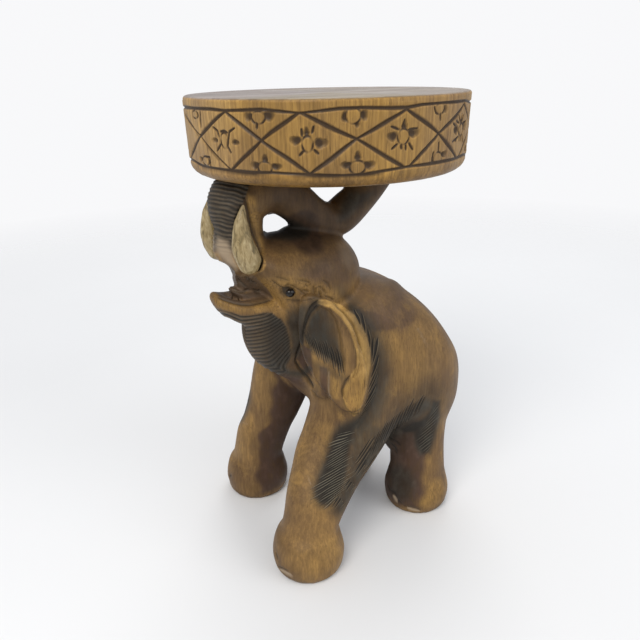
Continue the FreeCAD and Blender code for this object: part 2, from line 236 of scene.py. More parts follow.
def leg_rows(name):
    fx, fy, tx, ty, ankle, rows = LEGS[name]
    out = [(z * FOOT_HEIGHT, fx, fy, r * FOOT / 2, r * FOOT / 2) for z, r in FOOT_ROWS]
    for z, drift, w, d in rows:
        out.append((z * HEIGHT, fx + (tx - fx) * drift, fy + (ty - fy) * drift, w * ankle,
                    d * ankle))
    return out


legs = {name: ovals(leg_rows(name), False) for name in LEGS}
leg_middles = {name: smooth_rows(leg_rows(name)) for name in LEGS}

TRUNK_ROWS = smooth_rows([(y * LENGTH, z * HEIGHT, w * TRUNK, d * TRUNK) for y, z, w, d in (
    (-0.190, 0.745, 0.66, 0.34), (-0.267, 0.778, 0.66, 0.36), (-0.320, 0.824, 0.52, 0.50),
    (-0.324, 0.883, 0.49, 0.45), (-0.318, 0.944, 0.58, 0.54), (-0.220, 0.964, 0.54, 0.48),
    (-0.127, 0.922, 0.48, 0.48), (-0.050, 0.878, 0.42, 0.39), (0.007, 0.865, 0.40, 0.35),
    (0.042, 0.870, 0.39, 0.37), (0.089, 0.896, 0.38, 0.38), (0.152, 0.940, 0.38, 0.38),
    (0.208, 0.988, 0.40, 0.37), (0.234, 1.012, 0.40, 0.37))], 6)


def trunk_place(y, z):
    """Nearest place on the trunk's middle line: signed distance, half sizes, length along it."""
    line = TRUNK_ROWS[:, :2]
    lengths = np.hypot(*(line[1:] - line[:-1]).T)
    best = np.full(np.shape(y), 1e9)
    gap, wide, deep, along = (np.zeros(np.shape(y)) for _ in range(4))
    done = 0.0
    for i, reach in enumerate(lengths):
        d = (line[i + 1] - line[i]) / reach
        dy, dz = y - line[i, 0], z - line[i, 1]
        t = np.clip(dy * d[0] + dz * d[1], 0, reach)
        away = np.hypot(dy - t * d[0], dz - t * d[1])
        w = TRUNK_ROWS[i, 2] + (TRUNK_ROWS[i + 1, 2] - TRUNK_ROWS[i, 2]) * t / reach
        h = TRUNK_ROWS[i, 3] + (TRUNK_ROWS[i + 1, 3] - TRUNK_ROWS[i, 3]) * t / reach
        nearer = away - h < best
        best = np.where(nearer, away - h, best)
        side = np.where(-d[1] * dy + d[0] * dz > 0, 1.0, -1.0)
        gap = np.where(nearer, away * side, gap)
        wide, deep = np.where(nearer, w, wide), np.where(nearer, h, deep)
        along = np.where(nearer, done + t, along)
        done += reach
    return gap, wide, deep, along


def trunk(x, y, z):
    gap, wide, deep, _ = trunk_place(y, z)
    rho, reach = np.hypot(x / wide, gap / deep), np.hypot(x, gap)
    edge = np.where(reach > 0.5, reach / np.maximum(rho, 1e-6), np.minimum(wide, deep))
    return reach - edge


# The ear lies in a plane that stands off the neck by its splay.
SPLAY = math.radians(35)
EAR_BACK = (math.sin(SPLAY), math.cos(SPLAY))
EAR_OUT = (math.cos(SPLAY), -math.sin(SPLAY))
EAR_FRONT = (50.0, -75.0)
EAR_LENGTH, EAR_HALF = 75.0, 8.0
EAR_ROWS = ((0.742, 0.24, 0.34), (0.730, 0.17, 0.48), (0.700, 0.14, 0.64), (0.650, 0.13, 0.80),
            (0.590, 0.17, 0.91), (0.530, 0.30, 0.98), (0.480, 0.48, 0.97), (0.448, 0.61, 0.91),
            (0.436, 0.71, 0.82))
ear_edge = smooth_rows([(near * EAR_LENGTH, z * HEIGHT) for z, near, far in EAR_ROWS]
                       + [(far * EAR_LENGTH, z * HEIGHT) for z, near, far in reversed(EAR_ROWS)], 3)


def ear_place(x, y, z):
    """Place along the ear, out of its plane, and distance to its edge."""
    dx, dy = np.abs(x) - EAR_FRONT[0], y - EAR_FRONT[1]
    along = dx * EAR_BACK[0] + dy * EAR_BACK[1]
    out = dx * EAR_OUT[0] + dy * EAR_OUT[1]
    return along, out, inside(along, z + 0 * along, ear_edge)


def ear(x, y, z):
    _, out, edge = ear_place(x, y, z)
    dish = 2.5 * step(-edge, 16, 3) - 1.0
    half = EAR_HALF - 2.5
    round_by = 4.5
    q1, q2 = edge + round_by, np.abs(out - dish) - half + round_by
    return np.minimum(np.maximum(q1, q2), 0) + np.hypot(np.maximum(q1, 0),
            np.maximum(q2, 0)) - round_by


def ball(x, y, z, middle, radii):
    p = [(c - m) / r for c, m, r in zip((x, y, z), middle, radii)]
    rho = np.sqrt(p[0] ** 2 + p[1] ** 2 + p[2] ** 2)
    return (rho - 1) * min(radii)


def near(x, y, z, low, high, field, margin=26.0):
    """Evaluates a costly field only near its box; elsewhere gives the distance to the box."""
    full = np.broadcast(x, y, z).shape
    x, y, z = (np.broadcast_to(c, full) for c in (x, y, z))
    off = [np.maximum(np.maximum(l - c, c - h), 0) for c, l, h in zip((x, y, z), low, high)]
    away = np.sqrt(off[0] ** 2 + off[1] ** 2 + off[2] ** 2)
    out = away + margin
    close = away < margin
    if close.any():
        out[close] = field(x[close], y[close], z[close])
    return out


LOOP_HOLE = ((264.5, 226), (266.5, 219), (270, 214.5), (274, 213.5), (279, 216), (285, 220),
             (289, 224.5), (284, 226.5),
             (278, 230.5), (272, 231.5), (266, 232.5))
MOUTH_AIR = ((205, 262), (211, 254), (214, 257.5), (219, 261), (225, 263.5), (229.5, 267),
             (234, 271.5), (235, 278), (234.4, 286),
             (231.3, 288.7), (226, 291), (216, 288), (205, 280))
NOTCH_HOLE = ((309, 182), (309.9, 187.7), (314, 191.5), (320, 197.5), (326.2, 202), (334, 195.5),
              (343, 188.7), (345, 182))


def seen_hole(corners):
    """Field of the air that shows inside an outline of the photograph, straight through."""
    def field(x, y, z):
        u, v = picture(np.stack([x, y, z], -1).reshape(-1, 3))
        return inside(u, v, corners).reshape(np.shape(x))
    return field


KNEE = (38, 58, 86)


def elephant_field(x, y, z):
    body = torso(x, y, z)
    body = blend(body, near(x, y, z, (-8, 130, 80), (8, 160, 195), tail), 3)
    for name, size in (("front_left", 14), ("front_right", 14), ("hind_left", 12),
                       ("hind_right", 12)):
        body = blend(body, legs[name](x, y, z), size)
    neck = blend(throat(x, y, z), near(x, y, z, (-42, -128, 230), (42, -40, 290), jaw), 7)
    mouth = near(x, y, z, (-28, -128, 270), (28, -66, 300),
                 lambda a, b, c: ball(a, b, c, (0, -96, 290), (25, 25.5, 14.5)))
    neck = carve(neck, mouth, 3)
    neck = blend(neck, near(x, y, z, (-18, -114, 270), (18, -58, 295), tongue), 2.5)
    neck = blend(neck, near(x, y, z, (-18, -106, 274), (18, -58, 314), inner_cheek), 2.5)
    body = blend(body, neck, 12)
    skull = blend(head(x, y, z), near(x, y, z, (-36, -125, 290), (36, 75, 400), trunk), 6)
    skull = carve(skull, near(x, y, z, (-45, -90, 322), (45, -10, 368), seen_hole(LOOP_HOLE)), 3)
    skull = carve(skull, near(x, y, z, (-40, -45, 348), (40, 45, 400), seen_hole(NOTCH_HOLE)), 3)
    skull = carve(skull, near(x, y, z, (-45, -145, 276), (45, -96, 330), seen_hole(MOUTH_AIR)), 3)
    body = blend(body, skull, 6)
    body = blend(body,
                 near(x, y, z, (28, 46, 72), (50, 70, 100), lambda a, b,
                      c: ball(a, b, c, KNEE, (12, 9, 13))), 9)
    body = blend(body, near(x, y, z, (-120, -80, 165), (120, 10, 300), ear), 6)
    for side, yr, zr in ((1, -0.338 * LENGTH, 0.787 * HEIGHT),
            (-1, -0.360 * LENGTH, 0.787 * HEIGHT)):
        root = near(x, y, z, (side * 30 - 12, yr - 14, zr), (side * 30 + 12, yr + 12, zr + 70),
                    tusk_field(side))
        body = carve(body, root - 1.2, 2.0)
    body = np.maximum(body, -z)
    return np.maximum(body, z - HEIGHT)


TUSK_ROOTS = {1: (30.0, -101.4, 309.3), -1: (-30.0, -108.0, 309.3)}
TUSK_LENGTH, TUSK_THICK, TUSK_WIDE = 66.0, 20.0, 23.0
TUSK_ROWS = ((0.00, 0.10, 0.00), (0.02, 0.22, 0.00), (0.07, 0.37, 0.00), (0.20, 0.51, 0.01),
             (0.34, 0.50, 0.05),
             (0.48, 0.41, 0.08), (0.70, 0.28, 0.085), (0.82, 0.18, 0.065), (0.91, 0.09, 0.045),
             (0.95, 0.04, 0.035))


def tusk_rows(side):
    x, y, z = TUSK_ROOTS[side]
    return [(z + s * TUSK_LENGTH, x, y - bow * TUSK_LENGTH, half * TUSK_THICK, half * TUSK_WIDE)
            for s, half, bow in TUSK_ROWS]


def tusk_field(side):
    return ovals(tusk_rows(side), False)


# Turning a field into a mesh

def surface(field, low, high, size):
    """Quads over the places where the field changes sign, one point per cell."""
    axes = [np.arange(l, h + size, size) for l, h in zip(low, high)]
    x, y, z = (a.reshape([-1 if i == k else 1 for i in range(3)]) for k, a in enumerate(axes))
    d = np.broadcast_to(field(x, y, z), [len(a) for a in axes]).astype(np.float64)
    solid = d < 0
    corners = [(i, j, k) for i in (0, 1) for j in (0, 1) for k in (0, 1)]
    cut = [slice(None, -1), slice(1, None)]
    count = sum(solid[cut[i], cut[j], cut[k]].astype(int) for i, j, k in corners)
    cells = np.argwhere((count > 0) & (count < 8))
    total = np.zeros((len(cells), 3))
    hits = np.zeros(len(cells))
    for a in corners:
        for axis in range(3):
            if a[axis] == 0:
                b = list(a)
                b[axis] = 1
                da = d[tuple((cells + a).T)]
                db = d[tuple((cells + b).T)]
                mixed = (da < 0) != (db < 0)
                t = np.where(mixed, da / np.where(mixed, da - db, 1), 0)
                point = cells + np.array(a, float)
                point[:, axis] += t
                total += point * mixed[:, None]
                hits += mixed
    verts = total / hits[:, None] * size + np.array([a[0] for a in axes])
    index = np.full([n - 1 for n in d.shape], -1)
    index[tuple(cells.T)] = np.arange(len(cells))
    quads = []
    for axis in range(3):
        lo = [slice(1, -1)] * 3
        hi = [slice(1, -1)] * 3
        lo[axis], hi[axis] = slice(None, -1), slice(1, None)
        here, there = solid[tuple(lo)], solid[tuple(hi)]
        places = np.argwhere(here != there)
        flip = here[tuple(places.T)]
        places[:, [k for k in range(3) if k != axis]] += 1
        b, c = [k for k in range(3) if k != axis]
        ring = []
        for ob, oc in ((0, 0), (-1, 0), (-1, -1), (0, -1)):
            q = places.copy()
            q[:, b] += ob
            q[:, c] += oc
            ring.append(index[tuple(q.T)])
        ring = np.stack(ring, 1)
        if axis == 1:
            flip = ~flip
        ring[~flip] = ring[~flip][:, ::-1]
        quads.append(ring[:, ::-1])
    return verts, np.concatenate(quads)


def refine(verts, quads, polys, chosen):
    """Splits the chosen quads in four; their other neighbours gain corners."""
    edges = np.stack([quads, np.roll(quads, -1, 1)], 2)
    keys = np.sort(edges, 2)
    size = len(verts)
    codes = keys[:, :, 0].astype(np.int64) * size + keys[:, :, 1]
    taken = set()
    for poly in polys:
        for a, b in zip(poly, poly[1:] + poly[:1]):
            taken.add(min(a, b) * size + max(a, b))
    blocked = np.isin(codes,
                      np.fromiter(taken, np.int64,
                                  len(taken))).any(1) if taken else np.zeros(len(quads), bool)
    chosen = chosen & ~blocked
    marked = np.unique(codes[chosen])
    middle = (verts[marked // size] + verts[marked % size]) / 2
    faces = quads[chosen]
    centre = verts[faces].mean(1)
    start, mid0 = size + len(marked), size
    place = np.searchsorted(marked, codes)
    place_ok = np.minimum(place, max(len(marked) - 1, 0))
    has = marked[place_ok] == codes
    mids = mid0 + place_ok[chosen]
    cidx = start + np.arange(len(faces))
    parts = [np.stack([faces[:, k], mids[:, k], cidx, mids[:, k - 1]], 1) for k in range(4)]
    rest = ~chosen
    plain = rest & ~has.any(1)
    for q, h, m in zip(quads[rest & has.any(1)], has[rest & has.any(1)],
                       place_ok[rest & has.any(1)]):
        poly = []
        for k in range(4):
            poly.append(int(q[k]))
            if h[k]:
                poly.append(int(mid0 + m[k]))
        polys.append(poly)
    new = np.concatenate([quads[plain]] + parts)
    return np.concatenate([verts, middle, centre]), new, polys


def slope(field, p, h=0.35):
    """Unit normals of the field at points."""
    n = np.zeros_like(p)
    for sx, sy, sz in ((1, -1, -1), (-1, -1, 1), (-1, 1, -1), (1, 1, 1)):
        k = np.array([sx, sy, sz], float)
        q = p + k * h
        n += k * field(q[:, 0], q[:, 1], q[:, 2])[:, None]
    length = np.linalg.norm(n, axis=1, keepdims=True)
    return n / np.maximum(length, 1e-9), length[:, 0] / (4 * h)


def settle(field, p, rounds=2, most=1.5):
    """Moves points on to the field's surface."""
    for _ in range(rounds):
        n, steep = slope(field, p)
        d = field(p[:, 0], p[:, 1], p[:, 2]) / np.maximum(steep, 0.3)
        p = p - n * np.clip(d, -most, most)[:, None]
    return p


def picture(p):
    """Where points of the stool stand in the photograph, in its pixels."""
    right = AIM[0] * (p[:, 0] - EYE_POINT[0]) + AIM[1] * (p[:, 1] - EYE_POINT[1])
    ahead = -AIM[1] * (p[:, 0] - EYE_POINT[0]) + AIM[0] * (p[:, 1] - EYE_POINT[1])
    rise = p[:, 2] - EYE_POINT[2]
    depth = ahead * math.cos(PITCH) - rise * math.sin(PITCH)
    a = FOCAL * right / depth
    b = -FOCAL * (ahead * math.sin(PITCH) + rise * math.cos(PITCH)) / depth
    c, s = math.cos(ROLL), math.sin(ROLL)
    return CENTRE + c * a - s * b, CENTRE + s * a + c * b


def make_mesh(name, verts, faces, smooth=True):
    mesh = bpy.data.meshes.new(name)
    mesh.from_pydata([tuple(v) for v in (verts * MM + SHIFT)], [], faces)
    mesh.update()
    for poly in mesh.polygons:
        poly.use_smooth = smooth
    obj = bpy.data.objects.new(name, mesh)
    bpy.context.scene.collection.objects.link(obj)
    return obj


def ring_faces(rings, count, ends=True):
    """Quads between rings of count points each, and a face over each end."""
    faces = []
    for i in range(rings - 1):
        for k in range(count):
            n = (k + 1) % count
            faces.append((i * count + k, i * count + n, (i + 1) * count + n, (i + 1) * count + k))
    if ends:
        faces.append(tuple(range(count - 1, -1, -1)))
        faces.append(tuple((rings - 1) * count + k for k in range(count)))
    return faces


def paint(obj, name, values):
    layer = obj.data.attributes.new(name, "FLOAT", "POINT")
    layer.data.foreach_set("value", np.asarray(values, np.float32))


# Carving zones, drawn in the photograph's pixels for the left side. The right
# side gets the same carving mirrored.

def leg_shift(p):
    """Points as seen in the photograph: the right side mirrored on to the left."""
    q = p.copy()
    right = p[:, 0] < 0
    for mine, other in (("front_right", "front_left"), ("hind_right", "hind_left")):
        a, b = leg_middles[mine], leg_middles[other]
        z = p[:, 2]
        order_a, order_b = np.argsort(a[:, 0]), np.argsort(b[:, 0])
        ya, yb = (np.interp(z, t[o, 0], t[o, 2]) for t, o in ((a, order_a), (b, order_b)))
        share = step(z, 175, 120)
        own = right & (np.abs(p[:, 1] - ya) < 55) & ((p[:,
                1] < 20) if mine == "front_right" else (p[:, 1] >= 10))
        q[:, 1] = np.where(own, p[:, 1] + (yb - ya) * share, q[:, 1])
    q[:, 0] = np.abs(p[:, 0])
    return q


HOLLOW = ((319, 305), (308, 317), (303, 330), (301, 340), (308, 350), (320, 359), (333, 368),
          (344, 374), (346, 362),
          (343, 348), (341, 334), (337, 320), (331, 310))
RIM_LINE = ((330, 307), (341, 317), (349, 328), (354, 342), (356, 354), (356, 366), (353, 378))
RIM_BAND = ((310, 299), (325, 299), (341, 304), (357, 316), (366, 331), (371, 349), (371, 366),
            (368, 385), (364, 398),
            (360, 413), (354, 417), (346, 410), (343, 401), (342, 391), (349, 377), (356, 366),
            (356, 353), (353, 341),
            (348, 328), (340, 317), (330, 308), (317, 304))
LOBE_FOLD = ((350, 376), (345, 382), (342, 390), (343, 397))
LOBE_EDGE = ((343, 399), (346, 408), (353, 414), (359, 413))
SKIRT_EDGE = ((311, 390), (316, 396), (322, 399), (329, 398))
SKIRT_FOLDS = (((321, 366), (319, 380), (316, 392)), ((331, 370), (330, 384), (329, 396)),
               ((309, 352), (309, 368), (312, 386)))
NECK_GROOVES = (((318, 300), (311, 307), (307, 316), (305, 325), (303, 334), (302, 342), (298, 352),
                 (295, 361)),
                ((317, 306), (311, 313), (308, 321), (305, 330)),
                ((295, 361), (300, 369), (307, 377), (312, 388)))
NECK_SHADE = ((316, 303), (309, 312), (304, 325), (300, 338), (296, 350))
NECK_SHADOW = ((286, 310), (300, 303), (318, 299), (313, 314), (307, 330), (304, 344), (298, 352),
             (293, 364), (289, 350),
             (288, 334), (284, 322))
SHOULDER_GREY = ((303, 344), (296, 359), (303, 370), (312, 380), (313, 366), (312, 350))
EAR_BACK_LINE = ((352, 307), (361, 315), (369, 329), (374, 344), (377, 360), (378, 374), (376, 388),
                 (372, 402),
                 (366, 415), (358, 427))
EAR_CAST_SHADOW = ((362, 318), (372, 332), (378, 350), (381, 372), (379, 395), (372, 415), (362, 430),
            (352, 440))
BELLY_LINE = ((339, 507), (351, 486), (363, 466), (377, 447), (391, 432), (404, 421), (416, 412),
              (426, 405))
HAIR_PATCH = ((366, 410), (352, 418), (338, 424), (331, 434), (327, 446), (323, 458), (318, 472),
              (312, 487), (312, 499),
              (320, 508), (330, 508), (340, 499), (345, 489), (349, 474), (350, 460), (353, 446),
              (358, 432), (368, 418))
HIND_PATCH = ((432, 399), (441, 400), (441, 416), (438, 429), (434, 443), (430, 453), (420, 455),
              (415, 446), (413, 433),
              (419, 420), (427, 412))
BACK_STAIN = ((341, 297), (342, 276), (358, 266), (374, 270), (390, 277), (402, 287), (412, 299),
              (418, 314), (414, 321.5),
              (403, 330.5), (390, 332.5), (376, 331.5), (364, 320), (352, 308))
FLANK_GOLD = ((384, 336), (400, 331), (414, 322), (424, 334), (430, 356), (424, 384), (408, 396),
              (392, 392), (386, 366))
EYE_SPOT = ((281, 287), (288, 286.5), (294, 289), (296, 293), (292, 297), (285, 298), (281, 294))
EYE_CUTS = (
    ((271, 280), (276, 284), (282, 288)), ((280, 288), (281, 294), (286, 299)),
    ((284, 286), (290, 285), (296, 288), (300, 291)),
    ((297, 288), (302, 292), (307, 296.5)), ((303, 290), (309, 292)),
    ((313.5, 285.5), (314.5, 294)),
    ((317.5, 286), (322.5, 289), (326, 294)), ((319, 291), (320.5, 297)),
    ((285, 300), (296, 301), (306, 300.5), (313, 299)),
    ((297, 280), (304, 281), (311, 283)), ((323, 280), (328, 284), (331, 290)),
    ((276, 277), (283, 279), (290, 281)),
    ((325, 296), (333, 300)), ((305, 284), (308, 287)),
)
LIP_ROLL = ((214, 297), (219, 303), (228, 306), (238, 309), (249, 310), (259, 308), (268, 306),
            (274, 304))
LIP_INSIDE = ((218, 297.5), (225, 300.5), (234, 303.5), (244, 305), (254, 304.5), (264, 302),
              (270, 300))
MOUTH_CUTS = (((231, 289), (237, 292), (243, 292), (249, 289)),
              ((253, 289), (257, 292), (260, 290)),
              ((236, 276), (240, 282), (246, 287)), ((245, 276), (250, 281), (257, 284)))
TUSK_GROOVE = ((244.5, 196), (247, 208), (250, 222), (253, 234), (258, 244), (261, 254))
TUSK_GOLD = ((247, 194), (255, 196), (258, 212), (260, 230), (263, 243), (264, 256), (261, 268),
             (253, 277), (244, 278), (240, 276),
             (253, 271), (256, 262), (255, 250), (250, 232), (246, 212))
SNOUT = ((217, 236), (228, 241), (233, 252), (239, 266), (236, 271), (226, 264), (217, 254),
         (213, 246))
RIB_RIGHT = ((183, 249.5), (190, 248), (200, 244), (212, 240), (226, 235.5), (240, 232))
THROAT_LEFT = ((308, 241), (327.5, 241), (337, 245), (346.6, 249), (352.7, 253), (359, 259),
               (365, 266), (368, 273), (371, 282))
THROAT_RIGHT = ((305, 268), (312, 275), (320, 282), (327, 287), (340, 291), (360, 292), (372, 294))
LIP_BELOW = ((211, 306), (216, 309), (223, 311), (233, 313.5), (243, 316), (254, 315), (264, 312.5),
             (272, 313), (278, 318))


def window(u, v, line, margin):
    """Whether a place is within the margin of a line's box."""
    points = np.array(line, float)
    low, high = points.min(0) - margin, points.max(0) + margin
    return (u > low[0]) & (u < high[0]) & (v > low[1]) & (v < high[1])


def strokes(u, v, lines, width, ends=0.5):
    """Tapering strokes along lines, 1 in their middle."""
    out = np.zeros(np.shape(u))
    for line in lines:
        close = window(u, v, line, width + 1)
        if close.any():
            gap, along, _ = line_place(u[close], v[close], line)
            taper = np.clip(4 * along * (1 - along), 0.02, 1) ** ends
            out[close] = np.maximum(out[close], bump(gap, width * taper))
    return out


def band(u, v, line, width):
    """1 on a line, falling softly to 0 at width."""
    out = np.zeros(np.shape(u))
    close = window(u, v, line, width)
    if close.any():
        out[close] = bump(line_place(u[close], v[close], line)[0], width)
    return out


def zone(u, v, corners, within, beyond):
    """1 inside an outline, 0 outside it, soft from within to beyond its edge."""
    out = np.zeros(np.shape(u))
    close = window(u, v, corners, beyond)
    if close.any():
        out[close] = step(inside(u[close], v[close], corners), beyond, -within)
    return out


def strip_place(u, v, starts, ends, count):
    """Place in a strip of hair that runs from one line to another.

    Gives the strokes passed along the strip, the share of the way down a
    stroke, and 1 inside the strip.
    """
    starts, ends = smooth_rows(starts, 6), smooth_rows(ends, 6)
    share = np.linspace(0, 1, 70)
    a, b = (np.stack([np.interp(share, np.linspace(0, 1, len(line)), line[:, j]) for j in (0, 1)],
                     1)
            for line in (starts, ends))
    passed, down, mask = (np.zeros(np.shape(u)) for _ in range(3))
    close = window(u, v, np.concatenate([a, b]), 9)
    if not close.any():
        return passed, down, mask
    run = b - a
    size = (run ** 2).sum(1)
    du, dv = u[close][:, None] - a[:, 0], v[close][:, None] - a[:, 1]
    gap = (run[:, 0] * dv - run[:, 1] * du) / np.sqrt(size)
    t = (run[:, 0] * du + run[:, 1] * dv) / size
    turns = ((gap[:, :-1] > 0) != (gap[:, 1:] > 0)) & (np.abs(t[:, :-1] - 0.5) < 0.95)
    k = turns.argmax(1)
    found = turns.any(1)
    rows = np.arange(len(k))
    f = gap[rows, k] / np.where(found, gap[rows, k] - gap[rows, k + 1], 1)
    s = np.where(found, (k + f) / (len(share) - 1),
                 np.where(np.abs(gap[:, 0]) < np.abs(gap[:, -1]), 0, 1))
    t = np.where(found, t[rows, k] * (1 - f) + t[rows, k + 1] * f,
                 np.where(s > 0.5, t[:, -1], t[:, 0]))
    passed[close] = s * count
    down[close] = t
    mask[close] = found * step(t, -0.45, -0.30) * step(t, 1.45, 1.30) * step(s, 0.0, 0.02) * step(s,
            1.0, 0.98)
    return passed, down, mask


LEG_HOLLOW = ((401, 429), (413, 421.5), (425, 420), (423, 427), (415.5, 432), (404, 433))
LOOP_SHADOW = ((281, 214), (290, 220), (300, 224), (310, 230), (306, 238), (290, 240), (272, 239),
             (262, 234), (266, 231), (278, 229), (286, 225))
BELLY_SHADE = ((386, 440), (400, 424), (414, 410), (430, 396))
EAR_HAIR = (
    ((351, 306), (358, 311), (365, 320), (371, 330), (376, 338), (378.5, 349), (379.5, 360),
     (379, 369), (378, 378), (376.5, 388),
     (374, 397), (371, 404), (366, 411)),
    ((358, 323), (364, 333), (368.5, 343), (371, 354), (372, 364), (371, 374), (369.5, 384),
     (368, 393), (365.5, 402), (362.5, 411),
     (359, 418), (355, 424), (350, 430)), 12)
EAR_LOW_HAIR = (
    ((301, 325), (307, 333), (314, 339), (322, 343), (331, 347), (340, 351)),
    ((307, 345), (313, 354), (320, 361), (328, 366), (336, 371), (345, 374)), 18)
BELLY_HAIR = (
    (((427, 395), (418, 399), (409, 404), (400, 411), (391, 419), (383, 427), (376, 434)),
     ((418, 413), (408, 420), (399, 428), (389, 436), (380, 446), (372, 455), (366, 462)), 16),
    (((371, 436), (377, 441), (383, 446)), ((352, 466), (357, 472), (363, 477)), 6),
    (((361, 451), (367, 456), (373, 461)), ((341, 483), (346, 488), (352, 493)), 6),
    (((350, 468), (356, 473), (362, 478)), ((330, 500), (335, 505), (341, 510)), 6),
)
LEG_HAIR = (
    ((353, 430), (352, 438), (350, 445), (350, 453), (350, 461), (350, 470), (349, 478), (347, 486),
     (344, 493)),
    ((334, 435), (329, 446), (327, 458), (324, 468), (320, 478), (315, 490), (313, 500), (318, 506),
     (327, 510)), 27)
HIND_HAIR = (
    ((438, 402), (438, 411), (437, 421), (435, 431), (433, 440), (430, 449)),
    ((429, 418), (423, 427), (418, 436), (417, 444), (419, 451), (424, 456)), 13)


def pick_hair(strips, size):
    """At each point the strip that covers it: strokes passed, way down a stroke, and strength."""
    passed, down, mask = (np.zeros(size) for _ in range(3))
    for (here, way, within), own in strips:
        stronger = within * (own > 0) > mask
        passed, down = np.where(stronger, here, passed), np.where(stronger, way, down)
        mask = np.where(stronger, within * own, mask)
    return passed, down, mask


def lay(mask, amount):
    """Raises a mask to an amount wherever that is more."""
    np.maximum(mask, amount, out=mask)


def carving(p, n):
    """Cut depth and paint masks for points p with normals n."""
    q = leg_shift(p)
    u, v = picture(q)
    toward = EYE_POINT - q
    toward /= np.linalg.norm(toward, axis=1, keepdims=True)
    m = n.copy()
    m[:, 0] *= np.where(p[:, 0] < 0, -1, 1)
    facing = step((toward * m).sum(1), -0.05, 0.2)
    x, y, z = p.T
    # Paint masks. cut is near-black painted shade in grooves and hollows. dark and deep are darker wood and
    # stain, and also painted shade in hollows, behind the ear, round the trunk's loop and under the belly. plum
    # is purple stain, and also painted shade on undersides, inner leg sides and in the mouth. pale is lighter
    # wood, and also painted highlights on crests and the back's upper faces. gold is golden wood.
    depth, dark, cut, gold, plum, deep, pale = (np.zeros(len(p)) for _ in range(7))

    def groove(lines, width, ends, where, sunk, shade):
        line = strokes(u, v, lines, width, ends) * where
        depth[:] += sunk * line
        lay(cut, shade * line)

    # Ribs across the front of the trunk
    gap, wide, deep_half, _ = trunk_place(y, z)
    turn = np.degrees(np.arctan2(np.abs(x) / wide, gap / deep_half))
    here = step(u, np.interp(v, *np.array(RIB_RIGHT).T) + 1.0,
                np.interp(v, *np.array(RIB_RIGHT).T) - 1.0)
    here = here * step(z, 326, 331) * (z > 300) * step(y, -48, -60) * step(turn, 110, 95)
    su, sv = picture(p)
    phase = (sv - 0.19 * (su - 225) + 0.7
             * wobble(su / 9 + sv / 17, 8)) / 4.3 + 0.2 * wobble(sv / 9, 2)
    ribs = 0.5 - 0.5 * np.cos(2 * np.pi * phase)
    broken = 0.5 + 0.5 * wobble(su / 7 + 3 * np.floor(phase), 3)
    depth += here * (0.3 + 0.75 * (1 - ribs) * (0.7 + 0.3 * broken))
    # The rib grooves are painted darker as painted shade, and the crests paler as painted highlights.
    lay(dark, here * (0.84 + 0.16 * (1 - ribs)))
    lay(cut, (0.55 + 0.35 * broken) * here * (1 - ribs) ** 2)
    lay(pale, (0.12 + 0.20 * broken) * here * ribs ** 3)

    # Ribs round the jaw and the throat, hanging in curves
    left = np.interp(v, *np.array(THROAT_LEFT).T)
    right = np.interp(v, *np.array(THROAT_RIGHT).T)
    share = np.clip((u - left) / (right - left), 0, 1.3)
    rise = np.interp(v, (312, 330, 345, 360), (9, 16, 20, 18))
    hang = v + rise * share ** 2.2 + 0.33 * np.clip(241 - u, 0, None)
    lip_low = np.interp(u, *np.array(LIP_BELOW).T)
    here = step(u, right + 2, right - 3) * step(v, lip_low - 1.5, lip_low + 1.5) * step(z, 184, 194)
    here = here * (z < 300) * (y < -15) * (np.abs(x) < 47) * step(hang, 378, 372) * (v < 382)
    phase = (hang + 0.8 * wobble(u / 14, 5)) / 3.45 + 0.12 * wobble(hang / 13, 6)
    ribs = 0.5 - 0.5 * np.cos(2 * np.pi * phase)
    # Painted shade: the throat is painted darker back from its front end, under the head. Its rib grooves get
    # painted shade and its crests painted highlights.
    throat_side_shade = step(u, 250, 276)
    depth += here * 1.1 * (1 - ribs)
    lay(dark, here * (0.66 + 0.34 * np.maximum(throat_side_shade, 1 - ribs)))
    lay(cut, here * np.maximum((0.60 + 0.35 * throat_side_shade) * (1 - ribs) ** 2, 0.45 * throat_side_shade))
    lay(pale, here * 0.30 * (1 - 0.7 * throat_side_shade) * ribs ** 3)

    # The ear: hollow, rolled rim, lobe and skirt
    on_ear = facing * (np.abs(x) > 40)
    hollow = zone(u, v, HOLLOW, 4.5, 0.8) * on_ear
    depth += 3.4 * hollow
    # The hollow is painted darker, most on its left side under the rim: painted shade.
    hollow_left_shade = step(u - 0.47 * (v - 303), 338, 306)
    lay(dark, zone(u, v, HOLLOW, 7, 3.5) * on_ear * (0.12 + 0.88 * hollow_left_shade))
    rim = zone(u, v, RIM_BAND, 1.2, 0.8) * on_ear
    depth -= 0.9 * zone(u, v, RIM_BAND, 5, 0) * on_ear
    lay(gold, rim * step(u, 311, 317) * (1.35 - 0.5 * step(v, 366, 384)))
    groove((RIM_LINE, [(a + 3.5, b - 2.5) for a, b in RIM_LINE]), 1.9, 0.3, on_ear, 0.9, 0.6)
    groove((LOBE_FOLD,), 2.0, 0.3, on_ear, 1.2, 0.75)
    # A dark line along the lobe's lower edge, with no cut under it: painted shade.
    groove((LOBE_EDGE,), 1.6, 0.2, facing, 0.0, 0.6)
    depth += 1.3 * zone(u, v, ((345, 384), (352, 374), (358, 376), (361, 392), (357, 408),
            (351, 412), (345, 402)), 5, 1) * on_ear
    # A thin pale line beside a skirt fold: painted highlight.
    lay(pale, 0.35 * strokes(u, v, (((328.8, 372), (328.8, 398)),), 1.3, 0.2) * facing)
    groove((SKIRT_EDGE,), 2.0, 0.3, facing, 1.0, 0.55)
    for fold in SKIRT_FOLDS:
        # Each skirt fold is sunk and its crease painted darker as painted shade.
        depth += 1.2 * band(u, v, fold, 5) * facing
        lay(dark, 0.25 * band(u, v, fold, 4) * facing)
    by_neck = facing * (np.abs(x) > 32) * (y < -20)
